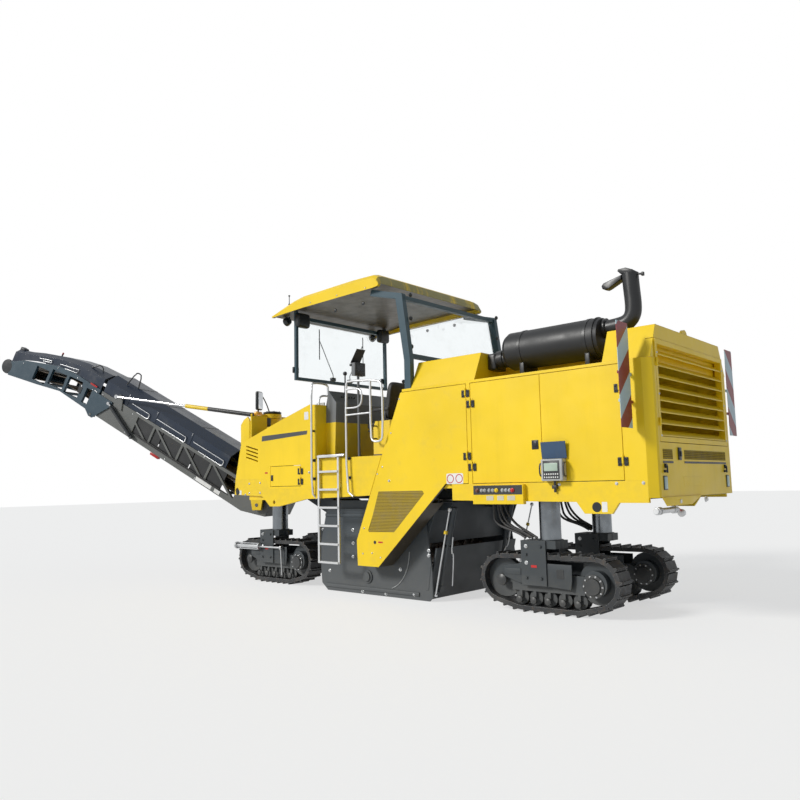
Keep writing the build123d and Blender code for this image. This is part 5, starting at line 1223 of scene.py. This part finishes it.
class PLANER_OT_track_fittings(bpy.types.Operator):
    """Hub covers, bolts, labels, steering cylinders and hoses on the four track units"""
    bl_idname = "planer.track_fittings"
    bl_label = "Track fittings"

    def steering(self, body, name, s, x0, x1, z):
        y, bars = s * (TRACK_Y + 0.205), Shape()
        bars.rod((x1 - 0.62, y, z), (x1, y, z), 0.034, 24)
        bars.rod((x0, y, z), (x1 - 0.62, y, z), 0.017, 18)
        for dz in (-0.048, 0.048):
            bars.rod((x1 - 0.64, y, z + dz), (x1 + 0.01, y, z + dz), 0.009, 10)
        for x in (x1 - 0.63, x1):
            bars.rod((x - 0.018, y, z), (x + 0.018, y, z), 0.06, 24)
        for x in (x0, x1 - 0.02):
            bars.box((x - 0.024, s * (TRACK_Y + 0.16), z - 0.03), (x + 0.024, y + s * 0.024, z + 0.03), 0.01)
        bars.rod((x0, y, z - 0.02), (x0 - 0.03, y, z - 0.44), 0.01, 12)
        bars.make(f"steering_cylinder_{name}", "zinc", body)

    def execute(self, context):
        for end, cx in ENDS:
            for side, s in SIDES:
                body, name = f"track_{end}_{side}", f"{end}_{side}"
                dark, steel, painted_bolts, plates = Shape(), Shape(), Shape(), Shape()
                for t in BOTH:
                    y = s * TRACK_Y + t * HUB_OUT
                    dark.lathe((cx - WHEEL_X, y, WHEEL_Z), (0, t, 0), [(0, 0.03), (0, 0.135), (0.012, 0.135),
                                                                       (0.016, 0.1), (0.034, 0.092), (0.038, 0.03)], 40)
                    for bx, bz in circle(0.116, 10):
                        steel.bolt((cx - WHEEL_X + bx, y + t * 0.012, WHEEL_Z + bz), (0, t, 0), 0.016)
                    dark.lathe((cx + 0.64, y - t * 0.01, WHEEL_Z), (0, t, 0), [(0, 0.02), (0, 0.075), (0.02, 0.07),
                                                                               (0.034, 0.04), (0.036, 0.01)], 32)
                    for dx in (-0.4, -0.2, 0.0, 0.2, 0.4):
                        dark.lathe((cx + dx, y - t * 0.03, 0.145), (0, t, 0), [(0, 0.01), (0, 0.045), (0.02, 0.042),
                                                                               (0.03, 0.015)], 24)
                    y = s * TRACK_Y + t * BRACKET_OUT
                    steel.side_bolts(y, [(cx + 0.255, z) for z in (0.8, 0.6)], t, 0.032)
                    painted_bolts.side_bolts(y, [(cx + dx, z) for dx, z in BRACKET_BOLTS], t, 0.03)
                    y = s * TRACK_Y + t * PLATE_OUT
                    plates.upright(y, [(cx + dx, z) for dx, z in TRACK_PLATE], t, 0.012, 0.003)
                    plates.upright(y + t * 0.012, [(cx + dx, z) for dx, z in TRACK_RIB], t, 0.006, 0.003)
                    # Painted shade: a thin black sheet fills the window in the plate.
                    dark.upright(y + t * 0.012, [(cx + dx, z) for dx, z in TRACK_WINDOW_SHADE], t, 0.003)
                plates.make(f"track_side_plates_{name}", "track_grey", body)
                dark.make(f"hub_covers_and_window_shade_{name}", "black_steel", body, slot="track_grey")
                steel.make(f"track_bolts_{name}", "zinc", body)
                painted_bolts.make(f"bracket_bolts_{name}", "track_grey", body)
                blank_label(f"track_label_{name}", (cx + 0.15, s * (TRACK_Y + BRACKET_OUT), 0.56), (0.08, 0.03),
                            (0, s, 0), "label_red", body)
                if end == "front":
                    self.steering(body, name, s, cx - 0.26, cx + 0.93, 0.59)
        for side, s in SIDES:
            bundle = Shape()
            for k in range(4):
                x, y = -1.56 + 0.05 * k, s * (0.8 + 0.022 * (k % 2))
                bundle.tube([(x + 0.3, y, 1.46), (x + 0.29, y, 1.25), (x + 0.14 + 0.05 * k, y, 1.06),
                             (x - 0.06, y, 0.96), (x - 0.17, y, 0.9)], 0.016, 12, 2)
            bundle.make(f"leg_hoses_{side}", "hose", f"leg_rear_{side}")
        return {"FINISHED"}


class PLANER_OT_side_panels(bpy.types.Operator):
    """Ground control panel, socket row, tow plate, drain fittings, hood plate, top steps and hood fins"""
    bl_idname = "planer.side_panels"
    bl_label = "Side panels"

    def execute(self, context):
        body = "engine_door_left_rear"
        cabinet, lid, keys, dark = Shape(), Shape(), Shape(), Shape()
        cabinet.box((-2.41, 1.222, 1.59), (-2.13, 1.318, 1.842), 0.014, 3)
        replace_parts(cabinet.make("ground_control", "light_grey", body), "ground_panel")
        lid.sheet([(-2.425, 1.236, 1.846), (-2.105, 1.236, 1.846), (-2.105, 1.262, 2.04), (-2.425, 1.262, 2.04)],
                  (0, -1, 0.12), 0.01, 0.003)
        lid.make("ground_control_lid", "blue", body)
        dark.box((-2.372, 1.318, 1.612), (-2.16, 1.323, 1.822), 0.004)
        for x in (-2.425, -2.118):
            dark.tube([(x, 1.27, 1.64), (x, 1.322, 1.66), (x, 1.322, 1.78), (x, 1.27, 1.8)], 0.009, 10, 1)
        dark.rod((-2.26, 1.236, 1.59), (-2.26, 1.236, 1.46), 0.014, 14)
        dark.box((-2.29, 1.212, 1.5), (-2.23, 1.26, 1.54), 0.006)
        dark.make("ground_control_face", "panel_dark", body, slot="black_steel")
        for row in (1.632, 1.668):
            for x in spaced(-2.35, -2.182, 7):
                keys.box((x - 0.008, 1.322, row - 0.009), (x + 0.008, 1.3265, row + 0.009), 0.002, 1)
        keys.make("ground_control_keys", "label_white", body)
        screen = Shape().box((-2.352, 1.322, 1.703), (-2.176, 1.326, 1.794), 0.004)
        screen.make("ground_control_display", "display", body)
        y = 1.2705
        back, sockets, plates = Shape(), Shape(), Shape()
        back.box((-1.838, y - 0.002, 1.44), (-1.13, y + 0.002, 1.552), 0.002, 1)
        back.make("socket_recess", "panel_dark", slot="black_steel")
        for x in (-1.257, -1.305, -1.371, -1.424, -1.563, -1.615, -1.666):
            sockets.lathe((x, y, 1.492), (0, 1, 0), [(0, 0.008), (0, 0.022), (0.01, 0.022), (0.012, 0.014),
                                                     (0.022, 0.013), (0.024, 0.004)], 20)
        sockets.make("sockets_grey", "light_grey")
        for x, key in ((-1.191, "brown"), (-1.477, "yellow"), (-1.706, "label_red")):
            socket = Shape().lathe((x, y, 1.492), (0, 1, 0), [(0, 0.008), (0, 0.026), (0.012, 0.026), (0.014, 0.017),
                                                              (0.026, 0.016), (0.028, 0.004)], 24)
            socket.make(f"socket_{key}", key, slot="panel_grey")
        for x0, x1 in ((-1.427, -1.323), (-1.576, -1.482), (-1.736, -1.626)):
            plates.box((x0, y - 0.001, 1.37), (x1, y + 0.002, 1.428), 0.001, 1)
        plates.make("socket_plates", "cream")
        tow = Shape().sheet([(-3.452, y, z) for y, z in ((1.12, 1.395), (-0.01, 1.395), (0.3, 1.3), (1.0, 1.3))],
                            (-1, 0, 0), 0.014, 0.004)
        tow.make("tow_plate", "yellow")
        drain, lever = Shape(), Shape()
        for y in (1.12, 1.06, 0.69, 0.64):
            drain.lathe((-3.39, y, 1.25), (0, -1, 0), [(0, 0.025), (0, 0.041), (0.03, 0.041), (0.032, 0.025)], 24)
        drain.lathe((-3.39, 0.47, 1.205), (0.1, -1, 0), [(0, 0.01), (0.004, 0.04), (0.02, 0.044), (0.06, 0.04),
                                                         (0.064, 0.01)], 24)
        drain.make("drain_fittings", "zinc")
        lever.tube([(-3.39, 0.64, 1.262), (-3.392, 0.56, 1.268), (-3.394, 0.5, 1.246), (-3.392, 0.455, 1.228)], 0.009,
                   10, 1)
        lever.make("drain_lever", "signal_red", slot="yellow")
        knobs = Shape()
        Shape().box((1.98, 0.905, 2.64), (2.16, 0.925, 2.9), 0.004).make("hood_side_plate", "light_grey")
        for x, z in ((2.02, 2.7), (2.12, 2.85)):
            knobs.lathe((x, 0.924, z), (0, 1, 0), [(0, 0.01), (0, 0.024), (0.014, 0.024), (0.02, 0.016),
                                                   (0.022, 0.004)], 20)
        knobs.make("hood_side_knobs", "black_steel")
        step = Shape()
        for s in BOTH:
            lo, hi = sorted((s * 1.176, s * 1.272))
            step.box((1.19, lo, 2.016), (1.775, hi, 2.046), 0.006)
            for y in spaced(lo + 0.012, hi - 0.012, 5):
                step.box((1.2, y - 0.004, 2.045), (1.765, y + 0.004, 2.051), 0.001, 1)
        step.make("top_steps", "galvanised")
        fins = Shape()
        for s in BOTH:
            fins.upright(s * 1.18, ((3.782, 2.324), (3.784, 2.652), (3.7, 2.735), (3.601, 2.782), (3.555, 2.74),
                                    (3.537, 2.674), (3.536, 2.4)), s, 0.024, 0.004)
        fins.make("hood_fins", "yellow")
        return {"FINISHED"}


class PLANER_PT_panel(bpy.types.Panel):
    """Lists the planer's settings and pieces"""
    bl_idname = "PLANER_PT_panel"
    bl_label = "Cold planer"
    bl_space_type = "VIEW_3D"
    bl_region_type = "UI"
    bl_category = "Planer"

    def draw(self, context):
        for group in (context.scene.planer_finish, context.scene.planer_stage):
            for key in group.bl_rna.properties.keys():
                if key not in ("rna_type", "name"):
                    self.layout.prop(group, key)
        for operator in OPERATORS:
            self.layout.operator(operator.bl_idname)


SETTINGS = (("planer_finish", PlanerFinishSettings), ("planer_stage", PlanerStageSettings))
OPERATORS = (PLANER_OT_stage, PLANER_OT_finishes, PLANER_OT_door_fittings, PLANER_OT_body_fittings,
             PLANER_OT_rear_face, PLANER_OT_exhaust, PLANER_OT_handrails, PLANER_OT_belt_covers,
             PLANER_OT_conveyor_fittings, PLANER_OT_mast, PLANER_OT_operator_station, PLANER_OT_canopy,
             PLANER_OT_housing_fittings, PLANER_OT_track_fittings, PLANER_OT_side_panels)


def register():
    for attribute, group in SETTINGS:
        bpy.utils.register_class(group)
        setattr(bpy.types.Scene, attribute, bpy.props.PointerProperty(type=group))
    for cls in OPERATORS + (PLANER_PT_panel,):
        bpy.utils.register_class(cls)


def unregister():
    for cls in reversed(OPERATORS + (PLANER_PT_panel,)):
        bpy.utils.unregister_class(cls)
    for attribute, group in reversed(SETTINGS):
        delattr(bpy.types.Scene, attribute)
        bpy.utils.unregister_class(group)


def main():
    register()
    for operator in OPERATORS:
        group, name = operator.bl_idname.split(".")
        getattr(getattr(bpy.ops, group), name)()


if __name__ == "__main__":
    main()
